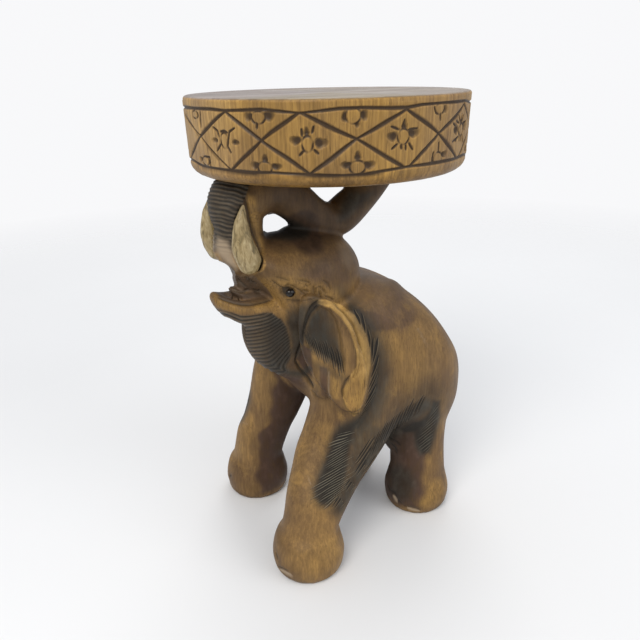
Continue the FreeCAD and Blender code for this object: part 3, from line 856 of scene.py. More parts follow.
    # The neck grooves are painted near-black: painted shadow in front of the ear.
    groove(NECK_GROOVES, 2.4, 0.25, by_neck, 1.6, 0.95)

    # Where hair is cut: behind the ear, under the belly and on the legs
    _, out, edge = ear_place(x, y, z)
    off_ear = np.clip(step(np.abs(out), 9, 13) + step(edge, -1, 2), 0, 1)
    behind = off_ear * facing * (z > 110) * (y > -62)
    low = step((toward * m).sum(1), -0.35, 0.0) * (z < 190)
    strips = [(EAR_HAIR, behind), (EAR_LOW_HAIR, on_ear)] + [(strip, low) for strip in BELLY_HAIR]
    ink = pick_hair([(strip_place(u, v, *strip), own) for strip, own in strips], len(p))
    wisps = pick_hair([(strip_place(u, v, *strip), low * own) for strip,
                       own in ((LEG_HAIR, 1.0), (HIND_HAIR, 0.45))], len(p))
    # The mesh has each stroke as a cut, and the material draws it from its place in the strip
    for hair in (ink, wisps):
        hair[0][:] += 0.13 * wobble(u / 6 + v / 9, 5)
        arch = np.clip(4 * hair[1] * (1 - hair[1]), 0, 1)
        depth += 0.9 * bump(hair[0] % 1 - 0.5, 0.45) * np.sqrt(arch) * np.clip(hair[2], 0, 1)

    # Eye, brow and mouth
    face = facing * (z > 252) * (y < 20)
    spot = zone(u, v, EYE_SPOT, 1.5, 1) * face
    depth += 1.5 * spot
    lay(cut, 0.9 * spot)
    lids = zone(u, v, EYE_SPOT, 0.5, 3.5) * face - spot
    lay(gold, 0.9 * np.clip(lids, 0, 1))
    groove(EYE_CUTS, 1.9, 0.6, face, 0.8, 0.62)
    rough = band(u, v, ((262, 284), (280, 284), (300, 284), (318, 286), (334, 294)), 13) * face
    depth += 0.5 * rough * wobble(u / 2.1 + 2 * wobble(v / 4, 3), 6) * wobble(v / 2.3, 2)
    lay(gold, 0.55 * rough)
    depth -= 1.2 * band(u, v, LIP_ROLL, 6) * step(y, -60, -72) * facing * (z < 300)
    on_lip = step(y, -58, -68) * facing * (z < 300)
    lay(gold, (0.55 + 0.2 * wobble(u / 6, 4)) * band(u, v, LIP_ROLL, 7.5) * on_lip)
    line = strokes(u, v, (LIP_INSIDE,), 2.4, 0.2) * on_lip
    depth += 0.9 * line
    lay(dark, 0.8 * line)
    inner = (np.abs(x) < 26) * step(y, -56, -66) * step(z, 276, 281) * step(z, 308, 303)
    inner = inner * (1 - step(band(u, v, LIP_ROLL, 7.5), 0.2, 0.5))
    # Inside the mouth the wood is painted darker and purple: painted shade in the recess.
    lay(pale, 0.12 * inner)
    lay(deep, 0.5 * inner)
    lay(plum, 0.7 * inner)
    groove(MOUTH_CUTS, 2.0, 0.4, facing * inner, 1.2, 0.8)
    line = strokes(u, v,
                   (((230, 288), (235, 291), (242, 293), (250, 291.5), (257, 288), (262, 285)),),
                   2.6, 0.2) * inner
    lay(gold, 0.75 * line)

    # Tusks' grooves and the snout between them
    high = facing * (z > 295) * (y < -50)
    groove((TUSK_GROOVE,), 3.0, 0.25, high, 1.6, 0.9)
    for side in (1, -1):
        d = near(x, y, z, (side * 30 - 12, -130, 305), (side * 30 + 12, -88, 378), tusk_field(side),
                 12.0)
        # A near-black rim round each tusk: painted shade in the gap at its socket.
        lay(cut, step(d, 2.4, 1.3))
        lay(gold, 0.9 * step(d, 1.8, 2.6) * step(d, 6.5, 4.5) * step(z, 330, 322) * (y < -88))
    # A dark line along the edge of the mouth's opening, with no cut under it: painted shade.
    groove((((228, 262), (232, 268), (234.5, 273)),), 2.4, 0.3, (z > 285) * (y < -90), 0.0, 0.7)

    # Stains and painted shade: deep brown stain on the head and trunk, painted shade under the trunk's loop, and
    # purple between the legs, partly stain and partly painted shade
    head_part = step(z, 282, 300) * (y < 80)
    lay(deep, 0.42 * head_part)
    lay(deep, (0.78 - 0.45 * step(y, -70, -92)) * step(z, 312, 332))
    # The head under the trunk's loop is painted near-black: partly deep stain, partly painted shade under the
    # loop.
    loop = bump(np.hypot(y + 40, z - 340), 34) * (np.abs(x) < 50)
    lay(deep, 0.97 * step(loop, 0, 0.55) * step(y, -72, -60))
    back = zone(u, v, BACK_STAIN, 5, 2.5) * facing * (z > 170)
    lay(plum, (0.60 + 0.18 * wobble(u / 17 + v / 23, 4)) * back)
    # Upward faces of the back patch are painted paler: painted sheen.
    lay(pale, back * 0.10 * step(n[:, 2], 0.4, 0.9))
    depth -= 2.3 * bump(np.hypot(u - 394, v - 282), 15) * (z > 200)
    scratch = strokes(u, v,
                      (((415, 324), (422, 336), (429, 349)),
                       ((307.5, 475), (309, 480), (311, 485))), 1.0, 0.4) * facing
    lay(pale, 0.3 * scratch)
    # Painted shade: downward-facing parts between the legs and under the belly are painted purple.
    underside_shade = step(n[:, 2], -0.25, -0.75) * step(z, 215, 190) * step(z, 60, 80)
    lay(plum, underside_shade)
    # Purple on the sides of the legs that face in under the belly: partly stain, partly painted shade.
    for name, low_dot, high_dot in (("front_left", 0.55, 0.85), ("front_right", 0.22, 0.45),
            ("hind_left", -0.32, 0.05),
                                    ("hind_right", -0.2, 0.1)):
        t = leg_middles[name]
        order = np.argsort(t[:, 0])
        ax, ay = np.interp(z, t[order, 0], t[order, 1]), np.interp(z, t[order, 0], t[order, 2])
        far = np.hypot(ax, ay - 8)
        dot = -(n[:, 0] * ax + n[:, 1] * (ay - 8)) / far
        own = (np.sign(ax) == np.sign(x)) & ((y < 12) if "front" in name else (y >= 12))
        top = 215 if name == "front_right" else 165
        lay(plum, own * step(dot + 0.12 * wobble(z / 13, 3), low_dot, high_dot)
            * step(z, top, top - 25)
                          * step(z, 3, 14) * 0.97)
    low_part = facing * (z < 30)
    chips = strokes(u, v,
                    (((279, 569), (286, 573), (293, 577)), ((407, 508), (413, 510), (420, 511.5)),
                     ((393, 495), (397, 502))), 2.2, 0.4)
    lay(pale, chips * low_part)
    nicks = strokes(u, v,
                    (((275.5, 552), (278, 560)), ((277, 566), (287, 570.5)),
                     ((404, 506), (412, 507.5), (421, 510))), 1.4, 0.4)
    lay(cut, 0.8 * nicks * low_part)
    folds = strokes(u, v,
                    (((390, 437.5), (395.5, 441), (400, 445)),
                     ((391, 443), (395, 447.5), (397, 453))), 2.0, 0.4) * low
    folds = np.maximum(folds,
                       strokes(u, v,
                               (((387.5, 484), (390, 490), (395, 493), (397.5, 499), (402, 504)),),
                               1.8, 0.4) * low_part)
    depth += 0.8 * folds
    lay(cut, 0.75 * folds)
    depth += 1.0 * nicks * low_part + 0.8 * chips * low_part
    # Stains, painted shade and painted highlights that only colour the wood
    for mask, strength, corners, within, beyond, where in (
            # More painted shade in the left of the ear's hollow.
            (cut, 0.30, HOLLOW, 9, 1, on_ear * hollow_left_shade),
            (plum, 0.7, ((319.5, 366), (327.5, 368), (327.5, 398), (320.5, 396)), 1.5, 0.8, facing),
            (gold, 0.55, ((330, 374), (341, 380), (341, 401), (330, 399)), 3, 2, facing),
            (gold, 0.30, ((312, 374), (320, 372), (320, 394), (314, 388)), 3, 2, facing),
            (plum, 0.95, SHOULDER_GREY, 2, 1, facing),
            # Painted shadow along the neck in front of the ear.
            (dark, 0.82, NECK_SHADOW, 7, 3, facing * (z > 200)),
            (dark, 0.97, HAIR_PATCH, 7, 6, low),
            (cut, 0.80, HAIR_PATCH, 10, 1, low),
            (dark, 0.74, ((356, 414), (376, 424), (388, 430), (366, 460), (350, 484), (344, 484),
                          (352, 440)), 5, 7, low),
            (dark, 0.97, HIND_PATCH, 4, 4, low),
            (cut, 0.55, HIND_PATCH, 7, 1, low),
            # Near-black painted shade in the hollow between the belly and the hind leg.
            (dark, 0.9, LEG_HOLLOW, 2.5, 2, low),
            (cut, 0.85, LEG_HOLLOW, 2.5, 2, low),
            (gold, 0.42, ((263, 280), (275, 275), (286, 284), (292, 300), (286, 316), (276, 316),
                          (268, 303)), 5, 4, face),
            # Deep brown painted shadow in the groove in front of the ear's hollow.
            (deep, 0.72, ((286, 322), (302, 312), (307, 330), (301, 350), (297, 368), (286, 374),
                          (281, 362), (291, 345)), 5, 4, facing * (z > 190)),
            (gold, 0.95, TUSK_GOLD, 3, 4, high * (0.75 + 0.25 * wobble(v / 6, 2))),
            (pale, 0.85, SNOUT, 5, 3, (z > 290) * (y < -80)),
            (gold, 0.8, ((212, 251), (219, 253), (224, 262), (219, 263), (213, 258)), 2, 1,
             (z > 285) * (y < -90)),
            # Near-black painted shadow between the trunk's loop and the head, beside the hole.
            (dark, 0.97, LOOP_SHADOW, 5, 4, (z > 300) * facing),
            (cut, 0.92, LOOP_SHADOW, 5, 4, (z > 300) * facing),
            # Painted shade under the trunk's upper arm, beside the notch.
            (dark, 0.9, ((346, 190), (376, 192), (368, 202), (356, 212), (346, 222), (338, 222),
                         (340, 206)), 6, 5, (z > 300)),
            (plum, 0.55, ((300, 276), (330, 262), (338, 246), (352, 250), (358, 262), (350, 284),
                          (334, 290)), 6, 5, (z > 250)),
            (deep, 0.62, ((292, 268), (312, 254), (332, 252), (334, 268), (316, 280), (300, 280)),
             8, 5, head_part),
            # Painted highlight at the back of the head.
            (pale, 0.20, ((337, 242), (346, 244), (353, 258), (350, 270), (342, 262)), 5, 4,
             (z > 250)),
            (plum, 0.8, ((354, 309), (372, 310), (389, 316), (402, 327), (390, 331), (374, 331),
                         (362, 322)), 3, 3, facing),
            (gold, 0.5, ((400, 301), (404, 300), (411, 308), (408, 311)), 1, 3, facing),
            (gold, 0.30, FLANK_GOLD, 8, 6, facing),
            # The hind leg's side shaded by the body is painted darker: painted shade.
            (dark, 0.80, ((386, 466), (400, 462), (412, 470), (418, 484), (412, 500), (398, 503),
                          (388, 494)), 8, 5, low),
            (gold, 0.62, ((432, 480), (441, 478), (446, 490), (442, 502), (430, 508), (404, 507),
                          (408, 500), (424, 496)), 4, 5, low),
            (deep, 0.45, ((258, 450), (280, 444), (290, 462), (287, 488), (266, 498), (254, 484)),
             6, 5, (z < 80))):
        lay(mask, strength * zone(u, v, corners, within, beyond) * where)
    # Dark bands: painted shade below the throat, along the neck, behind the ear, and along and under the belly's
    # edge; two more darken the ear's lower part and the top of the neck.
    for mask, strength, line, width, where in (
            (dark, 0.9, ((272, 368), (290, 373), (304, 374), (309, 368)), 7, (z < 220) * (y < 0)),
            (dark, 0.45, ((308, 358), (320, 368), (334, 374), (346, 379)), 8, on_ear),
            (dark, 0.9, NECK_SHADE, 12, by_neck),
            # Painted shadow that the ear casts on the body behind it, and painted shade in the gap behind its
            # edge.
            (dark, 0.86, EAR_CAST_SHADOW, 19, behind),
            (dark, 0.95, EAR_BACK_LINE, 11, behind),
            (cut, 0.40, EAR_BACK_LINE, 8, behind),
            # Painted shade along and under the belly's edge.
            (dark, 0.95, BELLY_LINE, 18, low),
            (dark, 0.5, ((340, 290), (348, 298), (358, 303)), 9, facing * (z > 170)),
            (dark, 0.42, BELLY_SHADE, 34, facing * (z < 200)),
            (deep, 0.45, BELLY_SHADE, 34, facing * (z < 200))):
        lay(mask, strength * band(u, v, line, width) * where)
    # deep is deep brown stain and also painted shade; bright golden wood takes little of either.
    deep *= 1 - 0.85 * np.clip(gold, 0, 1)  # bright wood isn't stained
    return depth, (dark, cut, gold, plum, deep, pale, *ink, *wisps)


PAINTS = ("dark", "cut", "gold", "plum", "deep", "pale")
HAIR_PAINTS = ("ink_number", "ink_down", "ink", "wisp_number", "wisp_down", "wisp")


def elephant_mesh():
    verts, quads = surface(elephant_field, (-121.5, -139.5, -4.5), (121.5, 166.5, 399.0), VOXEL)
    polys = []
    p = verts[quads].mean(1)
    x, y, z = p.T
    fine = (z > 165) & (y < -12) | (z > 250) & (y < 40) & (z < 392)
    fine |= (np.abs(x) > 30) & (z > 45) & (z < 300) & (y < 45) & (y > -110)
    fine |= (np.abs(x) > 10) & (z < 190) & (z > 60) & (y > 20) & (y < 150)
    verts, quads, polys = refine(verts, quads, polys, fine)
    rough = settle(elephant_field, verts)
    depth, paints = carving(rough, slope(elephant_field, rough)[0])
    sharp = np.ptp(paints[1][quads], 1) + 0.5 * np.ptp(paints[2][quads],
            1) + 0.3 * np.ptp(depth[quads], 1)
    p = verts[quads].mean(1)
    x, y, z = p.T
    finer = (sharp > 0.2) | (np.maximum(paints[8], paints[11])[quads].max(1) > 0.1)
    finer |= (z > 326) & (y < -80) & (np.abs(x) < 30) | (z > 190) & (z < 274) & (y < -45) & (np.abs(x) < 47)
    verts, quads, polys = refine(verts, quads, polys, finer)
    verts = settle(elephant_field, verts)
    n = slope(elephant_field, verts)[0]
    depth, paints = carving(verts, n)
    sole = verts[:, 2] < 0.7
    top = verts[:, 2] > HEIGHT - 0.7
    keep = 1 - np.maximum(step(verts[:, 2], 4, 1), step(verts[:, 2], HEIGHT - 3, HEIGHT - 0.5))
    verts = verts - n * (depth * keep)[:, None]
    verts[sole, 2] = 0
    verts[top, 2] = HEIGHT
    faces = [tuple(int(i) for i in q) for q in quads] + [tuple(p) for p in polys]
    print("elephant triangles", 2 * len(quads) + sum(len(p) - 2 for p in polys))
    obj = make_mesh("carved_elephant", verts, faces)
    for name, values in zip(PAINTS + HAIR_PAINTS, paints):
        paint(obj, name, values)
    return obj


# The seat, cut as one field of depths over angle and height

CROSSINGS = (-84.7, -53.7, -21.1, 12.6, 43.0, 72.5, 101.8, 131.9, 161.0, 190.6, 220.8, 249.0)
TOPS = (-108.5, -68.2, -40.0, -3.3, 30.4, 57.5, 87.6, 116.6, 147.0, 175.4, 206.1, 235.3)
BOTTOMS = (-93.2 - 9.0, -67.8, -36.9, -2.2, 28.0, 58.2, 86.8, 117.4, 145.9, 176.6, 205.2, 234.4)
BAND_TOP, BAND_LOW, BAND_MIDDLE = 450.3, 405.4, 430.0
MIDDLES = (-103.6, -69.6, -37.3, -4.1, 28.5, 57.9, 87.1, 117.0, 146.4, 176.0, 205.6, 234.8)
SEAT_STEPS = 1000


def seat_lines():
    """Lattice lines as polylines over angle and height."""
    lines = []
    for k in range(12):
        after = (k + 1) % 12
        turn = 360 if after == 0 else 0
        cross = (CROSSINGS[k], BAND_MIDDLE + 0.8 * wobble(k, 1))
        lines.append(((TOPS[k], BAND_TOP), cross, (BOTTOMS[after] + turn, BAND_LOW)))
        lines.append(((BOTTOMS[k], BAND_LOW), cross, (TOPS[after] + turn, BAND_TOP)))
    return lines


def band_point(deg, z):
    a = np.radians(deg)
    return np.stack([BAND_RADIUS * np.cos(a), BAND_RADIUS * np.sin(a), z + 0 * a], -1).reshape(-1,
            3)


def on_band(u, v):
    """Angle and height of the place on the seat's side that shows at a pixel."""
    deg, z = -31.0 + (u - 327) * 0.45, 560 - v
    for _ in range(25):
        here, there, above = (np.array(picture(band_point(a, h)))[:, 0] for a,
                h in ((deg, z), (deg + 0.1, z), (deg, z + 0.1)))
        across, up = (there - here) / 0.1, (above - here) / 0.1
        gap = np.array([u, v]) - here
        size = across[0] * up[1] - across[1] * up[0]
        deg += float(np.clip((gap[0] * up[1] - gap[1] * up[0]) / size, -8, 8))
        z += float(np.clip((across[0] * gap[1] - across[1] * gap[0]) / size, -8, 8))
    return deg, z


# The flowers as the photograph shows them, in its pixels: boss, gouges and strokes
FLOWERS = {
    "whole": (
        (224.0, 140.5, 3.3, 7.0, ((213, 140, 3.2, 2.4), (235, 142.4, 3.0, 2.8)),
         (((212, 127), (216.8, 131), (218.5, 137)),
          ((233.6, 128.3), (228.8, 132), (227.6, 140), (226.9, 146), (230.3, 153)),
          ((220.2, 144.3), (215.8, 151.3)), ((220, 131.6), (224, 131), (227, 133)))),
        (307.3, 144.3, 4.8, 7.2,
         ((294.2, 140.5, 5.7, 4.3), (321.6, 143.2, 6.2, 5.0), (306.3, 131.5, 2.7, 4.2)),
         (((301.3, 129), (301.7, 136)), ((313.5, 126.5), (312, 133)), ((303.4, 151), (299, 156)),
          ((314, 150), (318.5, 154)))),
        (403.9, 136.7, 5.2, 7.2,
         ((415, 133, 5.6, 4.2), (392.3, 136.7, 4.4, 4.8), (404.9, 125, 2.7, 4.5)),
         (((392, 126.6), (399, 129.5)), ((418.3, 128.3), (409, 129.6)),
          ((398, 144), (392.4, 149.3)), ((409.5, 143), (414, 150)),
          ((401.6, 144.5), (401.8, 149)), ((406.3, 145), (406.3, 150)),
          ((404.9, 119.5), (404.9, 128)))),
        (461.3, 129.5, 1.6, 5.0, (),
         (((459.3, 115.6), (460.3, 121)), ((463.8, 114.7), (462.7, 121)),
          ((455.0, 123.4), (457.4, 126.4)), ((466.6, 120), (464.6, 128)),
          ((459, 136.5), (454.2, 141.7)), ((462.8, 136), (463.3, 142.6)))),
    ),
    "upper": (
        (195, 114.5, 2.4, 3.4, (), (((200, 111.8), (200, 119.5), (200.7, 127.1)),)),
        (258, 117.6, 6.0, 5.8, ((247.2, 116.5, 4.2, 4.6), (269, 115.8, 5.4, 4.8)),
         (((256.7, 123), (256.6, 128.6)),)),
        (353.2, 115.6, 7.1, 7.6,
         ((344.5, 117, 3.6, 5.6), (364.7, 114.7, 4.0, 5.4), (357.5, 125, 2.4, 2.8)), ()),
        (440.3, 108.7, 3.9, 5.0, ((445.6, 109, 2.4, 3.6),),
         (((434.7, 106.5), (436.4, 113.2)), ((440.8, 113.5), (440.8, 120.4)))),
    ),
    "lower": (
        (204.9, 161, 2.8, 4.0, ((199.6, 158.9, 2.0, 2.2),),
         (((203.6, 156.2), (208.7, 157.6), (209.7, 166.3)),)),
        (264.2, 168.3, 6.2, 5.8,
         ((253.7, 165.6, 4.8, 3.8), (276.2, 167, 5.0, 3.2), (264.2, 158.4, 2.8, 3.8)), ()),
        (358, 167.6, 7.2, 6.0,
         ((346.5, 165.4, 6.4, 3.4), (370.5, 165.2, 6.2, 4.0), (358, 156, 3.2, 4.8)), ()),
        (438.9, 159.2, 3.9, 6.4, ((446, 153.9, 2.8, 3.2),),
         (((439.8, 142.4), (439.3, 151.5)), ((434.8, 151.8), (433.2, 161.8)))),
    ),
}
RIM_UPPER = ((186, 107.3), (210.6, 109), (223.9, 110.6), (261.6, 109.6), (282, 111.6),
             (299.4, 113.2), (322.9, 110.6), (339, 108.6),
             (360.8, 107.6), (391.4, 108), (406.7, 107.6), (422, 104.5), (442.4, 102.4),
             (462.9, 100.9))
RIM_LOWER = ((192, 160.2), (200.4, 165.7), (230, 170.8), (251.4, 172.9), (271.8, 172.9),
             (307.5, 174.9), (345.5, 175.9), (365.9, 174.4),
             (386.3, 170.8), (408.8, 166.7), (432, 163.7), (452.7, 159.6), (463, 155.6))
THIN_CUTS = (((186, 113.7), (192, 125), (198.4, 137)), ((205.5, 144.3), (211, 152), (217.8, 160.6)))


def flower_places(kind, k):
    """One flower's boss, gouges and strokes as offsets in mm along the band and up."""
    reference = k if k < 4 else 1 + (k + 1) % 2 if kind != "whole" else (1, 2, 0)[k % 3]
    u0, v0, ru, rv, ovals_seen, lines_seen = FLOWERS[kind][reference]
    mm = MM_PER_DEG
    here = on_band(u0, v0)
    m = np.array(picture(band_point(np.array([here[0], here[0] + 1 / mm, here[0]]),
            np.array([here[1], here[1], here[1] + 1]))))
    across, up = m[:, 1] - m[:, 0], m[:, 2] - m[:, 0]
    size = across[0] * up[1] - across[1] * up[0]

    def offset(u, v):
        du, dv = u - u0, v - v0
        return (du * up[1] - dv * up[0]) / size, (across[0] * dv - across[1] * du) / size

    wide, high = abs(across[0]), abs(up[1])
    boss = (0.0, 0.0, ru / wide, rv / high)
    gouges = [(*offset(u, v), a / wide, b / high) for u, v, a, b in ovals_seen]
    strokes_mm = [[offset(u, v) for u, v in line] for line in lines_seen]
    if k < 4:
        middle = here
    else:
        level = {"whole": BAND_MIDDLE, "upper": BAND_TOP - 5.0, "lower": BAND_LOW + 4.6}[kind]
        middle = ((MIDDLES if kind == "whole" else CROSSINGS)[k], level)
    return middle, boss, gouges, strokes_mm


def flower_depth(a, b, boss, gouges, lines):
    """Depth and darkness of one flower at offsets a (along the band) and b (up), in mm."""
    rho = np.hypot(a / boss[2], b / boss[3])
    ring_gap = (rho - 1) * min(boss[2:])
    off_boss = step(ring_gap, -0.2, 0.7)
    around = 0.62 + 0.38 * np.sin(3 * np.arctan2(b, a) + boss[2] + boss[3])
    depth = 1.3 * around * bump(ring_gap - 0.5, 1.2)
    shade = around * bump(ring_gap - 0.5, 1.25)
    for ga, gb, ra, rb in gouges:
        ga, gb = 0.94 * ga, 0.97 * gb
        turn = np.arctan2(b - gb, a - ga)
        r = np.hypot((a - ga) / (1.12 * ra), (b - gb) / (1.08 * rb)) * (1 + 0.10
                * np.sin(3 * turn + ga))
        scoop = np.clip(1.15 - r ** 2, 0, 1) ** 0.7 * off_boss
        inner = np.clip(1.25 - np.hypot(a - 0.62 * ga, b - 0.62 * gb) / (0.75 * max(ra, rb) + 1), 0,
                        1)
        depth = np.maximum(depth, 1.9 * scoop)
        shade = np.maximum(shade, scoop * (0.55 + 0.45 * inner))
    for line in lines:
        gap, along, _ = line_place(a, b, line)
        wide = 0.5 + 0.75 * np.sqrt(np.clip(4 * along * (1 - along), 0, 1))
        depth = np.maximum(depth, 1.5 * bump(gap, wide + 0.35))
        shade = np.maximum(shade, bump(gap, wide + 0.5))
    return depth, shade


def rim_levels(deg, pixels, level, seed):
    """Height of a rim line: as seen in the photograph, and wandering a little round the back."""
    seen = np.array([on_band(u, v) for u, v in pixels])
    plain = level + 0.9 * wobble(deg / 19, seed)
    share = step(deg, seen[0, 0] - 12, seen[0, 0] - 2) * step(deg, seen[-1, 0] + 12,
            seen[-1, 0] + 2)
    return plain * (1 - share) + np.interp(deg, seen[:, 0], seen[:, 1]) * share


def seat_depth(deg, z):
    """Cut depth and darkness on the seat's side."""
    mm = MM_PER_DEG
    depth, shade = np.zeros(np.shape(deg)), np.zeros(np.shape(deg))
    upper = rim_levels(deg, RIM_UPPER, BAND_TOP, 1.0)
    lower = rim_levels(deg, RIM_LOWER, BAND_LOW, 2.0)
    for middle, seed in ((upper, 1.0), (lower, 2.0)):
        wide = 1.15 + 0.45 * wobble(deg / 11, seed + 3)
        depth = np.maximum(depth, 1.6 * bump(z - middle, wide + 0.8))
        shade = np.maximum(shade, bump(z - middle, wide + 0.9))
    within = step(z, lower - 1.5, lower) * step(z, upper + 1.5, upper)
    for k, line in enumerate(seat_lines()):
        for turn in (-360, 0, 360):
            points = [((a + turn) * mm, b) for a, b in line]
            low = min(p[0] for p in points) - 4
            high = max(p[0] for p in points) + 4
            close = (deg * mm > low) & (deg * mm < high) & (within > 0)
            if close.any():
                gap, along, side = line_place(deg[close] * mm, z[close], points)
                gap = gap + 0.35 * side * wobble(along * 5, k * 0.7)
                swell = np.abs(np.sin(2 * np.pi * along)) ** 0.8
                wide = 0.9 + 1.35 * swell + 0.22 * wobble(along * 7, k)
                if k == 0:
                    wide = 0.3 * wide
                depth[close] = np.maximum(depth[close], 1.7 * bump(gap, wide + 0.5) * within[close])
                shade[close] = np.maximum(shade[close], bump(gap, wide + 0.6) * within[close])
    for line in THIN_CUTS:
        points = [(a * mm, b) for a, b in (on_band(u, v) for u, v in line)]
        gap, along, _ = line_place(deg * mm, z, points)
        depth = np.maximum(depth, 0.6 * bump(gap, 1.4))
        shade = np.maximum(shade, 0.45 * bump(gap, 1.6))
    for k in range(12):
        for kind in ("whole", "upper", "lower"):
            (at, height), boss, gouges, lines = flower_places(kind, k)
            for turn in (-360, 0, 360):
                a, b = (deg - at - turn) * mm, z - height
                close = (np.abs(a) < 24) & (np.abs(b) < 20) & (within > 0)
                if close.any():
                    cut, dim = flower_depth(a[close], b[close], boss, gouges, lines)
                    depth[close] = np.maximum(depth[close], cut * within[close])
                    shade[close] = np.maximum(shade[close], dim * within[close])
    return depth, shade


def seat_mesh():
    profile = []
    for k in range(7):
        turn = math.pi / 2 * k / 6
        profile.append((LOW_RADIUS - LOW_ROUND + LOW_ROUND * math.sin(turn),
                        HEIGHT + LOW_ROUND - LOW_ROUND * math.cos(turn)))
    side = [(LOW_RADIUS + (TOP_RADIUS - LOW_RADIUS) * (z - HEIGHT) / SEAT_THICK,
             z) for z in np.linspace(404.6, 456.6, 72)]
    top_edge = [(TOP_RADIUS - TOP_ROUND + TOP_ROUND * math.cos(a),
                 STOOL - TOP_ROUND + TOP_ROUND * math.sin(a)) for a in np.linspace(0.15,
                         math.pi / 2, 5)]
    inner = [(r, STOOL - 0.9 * (1 - (r / 129.0) ** 2)) for r in (124, 112, 92, 68, 42, 18)]
    under = [(r, HEIGHT) for r in (20, 55, 90, 110)]
    rows = under + profile + side + top_edge + inner
    table = np.array(rows)
    deg = np.arange(SEAT_STEPS) * 360 / SEAT_STEPS - 180
    radius, height = np.repeat(table[:, 0:1], SEAT_STEPS, 1), np.repeat(table[:, 1:2], SEAT_STEPS,
            1)
    turn = np.repeat(deg[None, :], len(table), 0)
    on_side = (height > 403) & (height < 454) & (radius > 125)
    depth, shade = np.zeros_like(radius), np.zeros_like(radius)
    depth[on_side], shade[on_side] = seat_depth(turn[on_side], height[on_side])
    rough = 0.18 * wobble(turn / 7, 2) + 0.12 * wobble(turn / 2.3 + height / 17, 7)
    lean = step(radius, 60, 128)
    wear = 0.5 * np.clip(wobble(turn / 13, 9), 0, 1) * ((height > 456) & (radius > 126))
    r = radius - depth - np.clip(0.3 - rough, 0, 1) * lean - wear
    a = np.radians(turn)
    verts = np.stack([r * np.cos(a), r * np.sin(a), height], 2).reshape(-1, 3)
    obj = make_mesh("carved_seat", verts, ring_faces(len(table), SEAT_STEPS))
    paint(obj, "groove", shade.reshape(-1))
    rosy = 0.9 * np.maximum(step(turn, -52, -78),
            0.6 * step(turn, -8, 18)) * np.maximum(step(turn, -175, -150), step(turn, 160, 120))
    paint(obj, "rosy", rosy.reshape(-1))
    return obj


def tusk_mesh(side):
    rows = smooth_rows(tusk_rows(side), 6)
    count = 40
    verts = []
    for z, cx, cy, w, d in rows:
        for k in range(count):
            a = 2 * math.pi * k / count
            chip = 1 + 0.025 * float(wobble(z / 5 + side, 3 + k * 0.35))
            verts.append((cx + w * chip * math.cos(a), cy + d * chip * math.sin(a), z))
    faces = ring_faces(len(rows), count)
    return make_mesh("carved_tusk_" + ("left" if side > 0 else "right"), np.array(verts), faces)


EYE_MIDDLE, EYE_RADIUS, EYE_BULGE = (52.4, -72.9, 292.0), 4.4, 3.6


def eye_mesh(side):
    """A round glossy bead, a little flattened."""
    count, rows = 24, 14
    verts = []
    for i in range(rows + 1):
        t = math.pi * i / rows
        for k in range(count):
            a = 2 * math.pi * k / count
            r = EYE_RADIUS * math.sin(t)
            verts.append((side * (EYE_MIDDLE[0] + EYE_BULGE * math.cos(t)),
                          EYE_MIDDLE[1] + r * math.cos(a),
                          EYE_MIDDLE[2] + 0.9 * r * math.sin(a)))
    faces = [quad[::side] for quad in ring_faces(rows + 1, count, False)]
    return make_mesh("eye_bead_" + ("left" if side > 0 else "right"), np.array(verts), faces)


# Materials

def new_material(name):
    material = bpy.data.materials.new(name)
    material.use_nodes = True
    tree = material.node_tree
    return material, tree, tree.nodes["Principled BSDF"]


def node(tree, kind, links=(), **values):
    made = tree.nodes.new(kind)
    for key, value in values.items():
        if key.startswith("in_"):
            socket = made.inputs[int(key[3:])] if key[3:].isdigit() else made.inputs[key[3:].replace("_", " ")]
            socket.default_value = value
        else:
            setattr(made, key, value)
    for socket, source in links:
        tree.links.new(source, made.inputs[socket])
    return made


def mapped(tree, scale, turn=(0, 0, 0)):
    """Object coordinates in metres from the stool's own axis, stretched by scale."""
    place = node(tree, "ShaderNodeTexCoord")
    return node(tree, "ShaderNodeMapping", [("Vector", place.outputs["Object"])], in_Scale=scale,
                in_Rotation=turn).outputs[0]


def noise(tree, vector, scale, detail=6.0, rough=0.6, twist=0.0):
    return node(tree, "ShaderNodeTexNoise", [("Vector", vector)], in_Scale=scale, in_Detail=detail,
                in_Roughness=rough,
                in_Distortion=twist).outputs["Fac"]


def ramp(tree, value, stops, mode="LINEAR"):
    made = node(tree, "ShaderNodeValToRGB", [("Fac", value)])
    made.color_ramp.interpolation = mode
    bar = made.color_ramp.elements
    while len(bar) < len(stops):
        bar.new(0.5)
    for item, (place, colour) in zip(bar, stops):
        item.position = place
        item.color = (*colour, 1) if len(colour) == 3 else colour
    return made.outputs["Color"]


def levels(tree, value, low, high, to_low=0.0, to_high=1.0):
    made = node(tree, "ShaderNodeMapRange", [("Value", value)])
    made.inputs["From Min"].default_value = low
    made.inputs["From Max"].default_value = high
    made.inputs["To Min"].default_value = to_low
    made.inputs["To Max"].default_value = to_high
    return made.outputs["Result"]


def mix(tree, share, a, b, how="MIX"):
    made = node(tree, "ShaderNodeMix", data_type="RGBA", blend_type=how)
    for socket, value in ((0, share), (6, a), (7, b)):
        if isinstance(value, (int, float)):
            made.inputs[socket].default_value = value
        elif isinstance(value, tuple):
            made.inputs[socket].default_value = (*value, 1)
        else:
            tree.links.new(value, made.inputs[socket])
    return made.outputs[2]


def maths(tree, how, a, b=None, clamp=False):
    made = node(tree, "ShaderNodeMath", operation=how, use_clamp=clamp)
    for socket, value in ((0, a), (1, b)):
        if value is None:
            continue
        if isinstance(value, (int, float)):
            made.inputs[socket].default_value = value
        else:
            tree.links.new(value, made.inputs[socket])
    return made.outputs[0]


def times(tree, a, b, clamp=False):
    return maths(tree, "MULTIPLY", a, b, clamp)


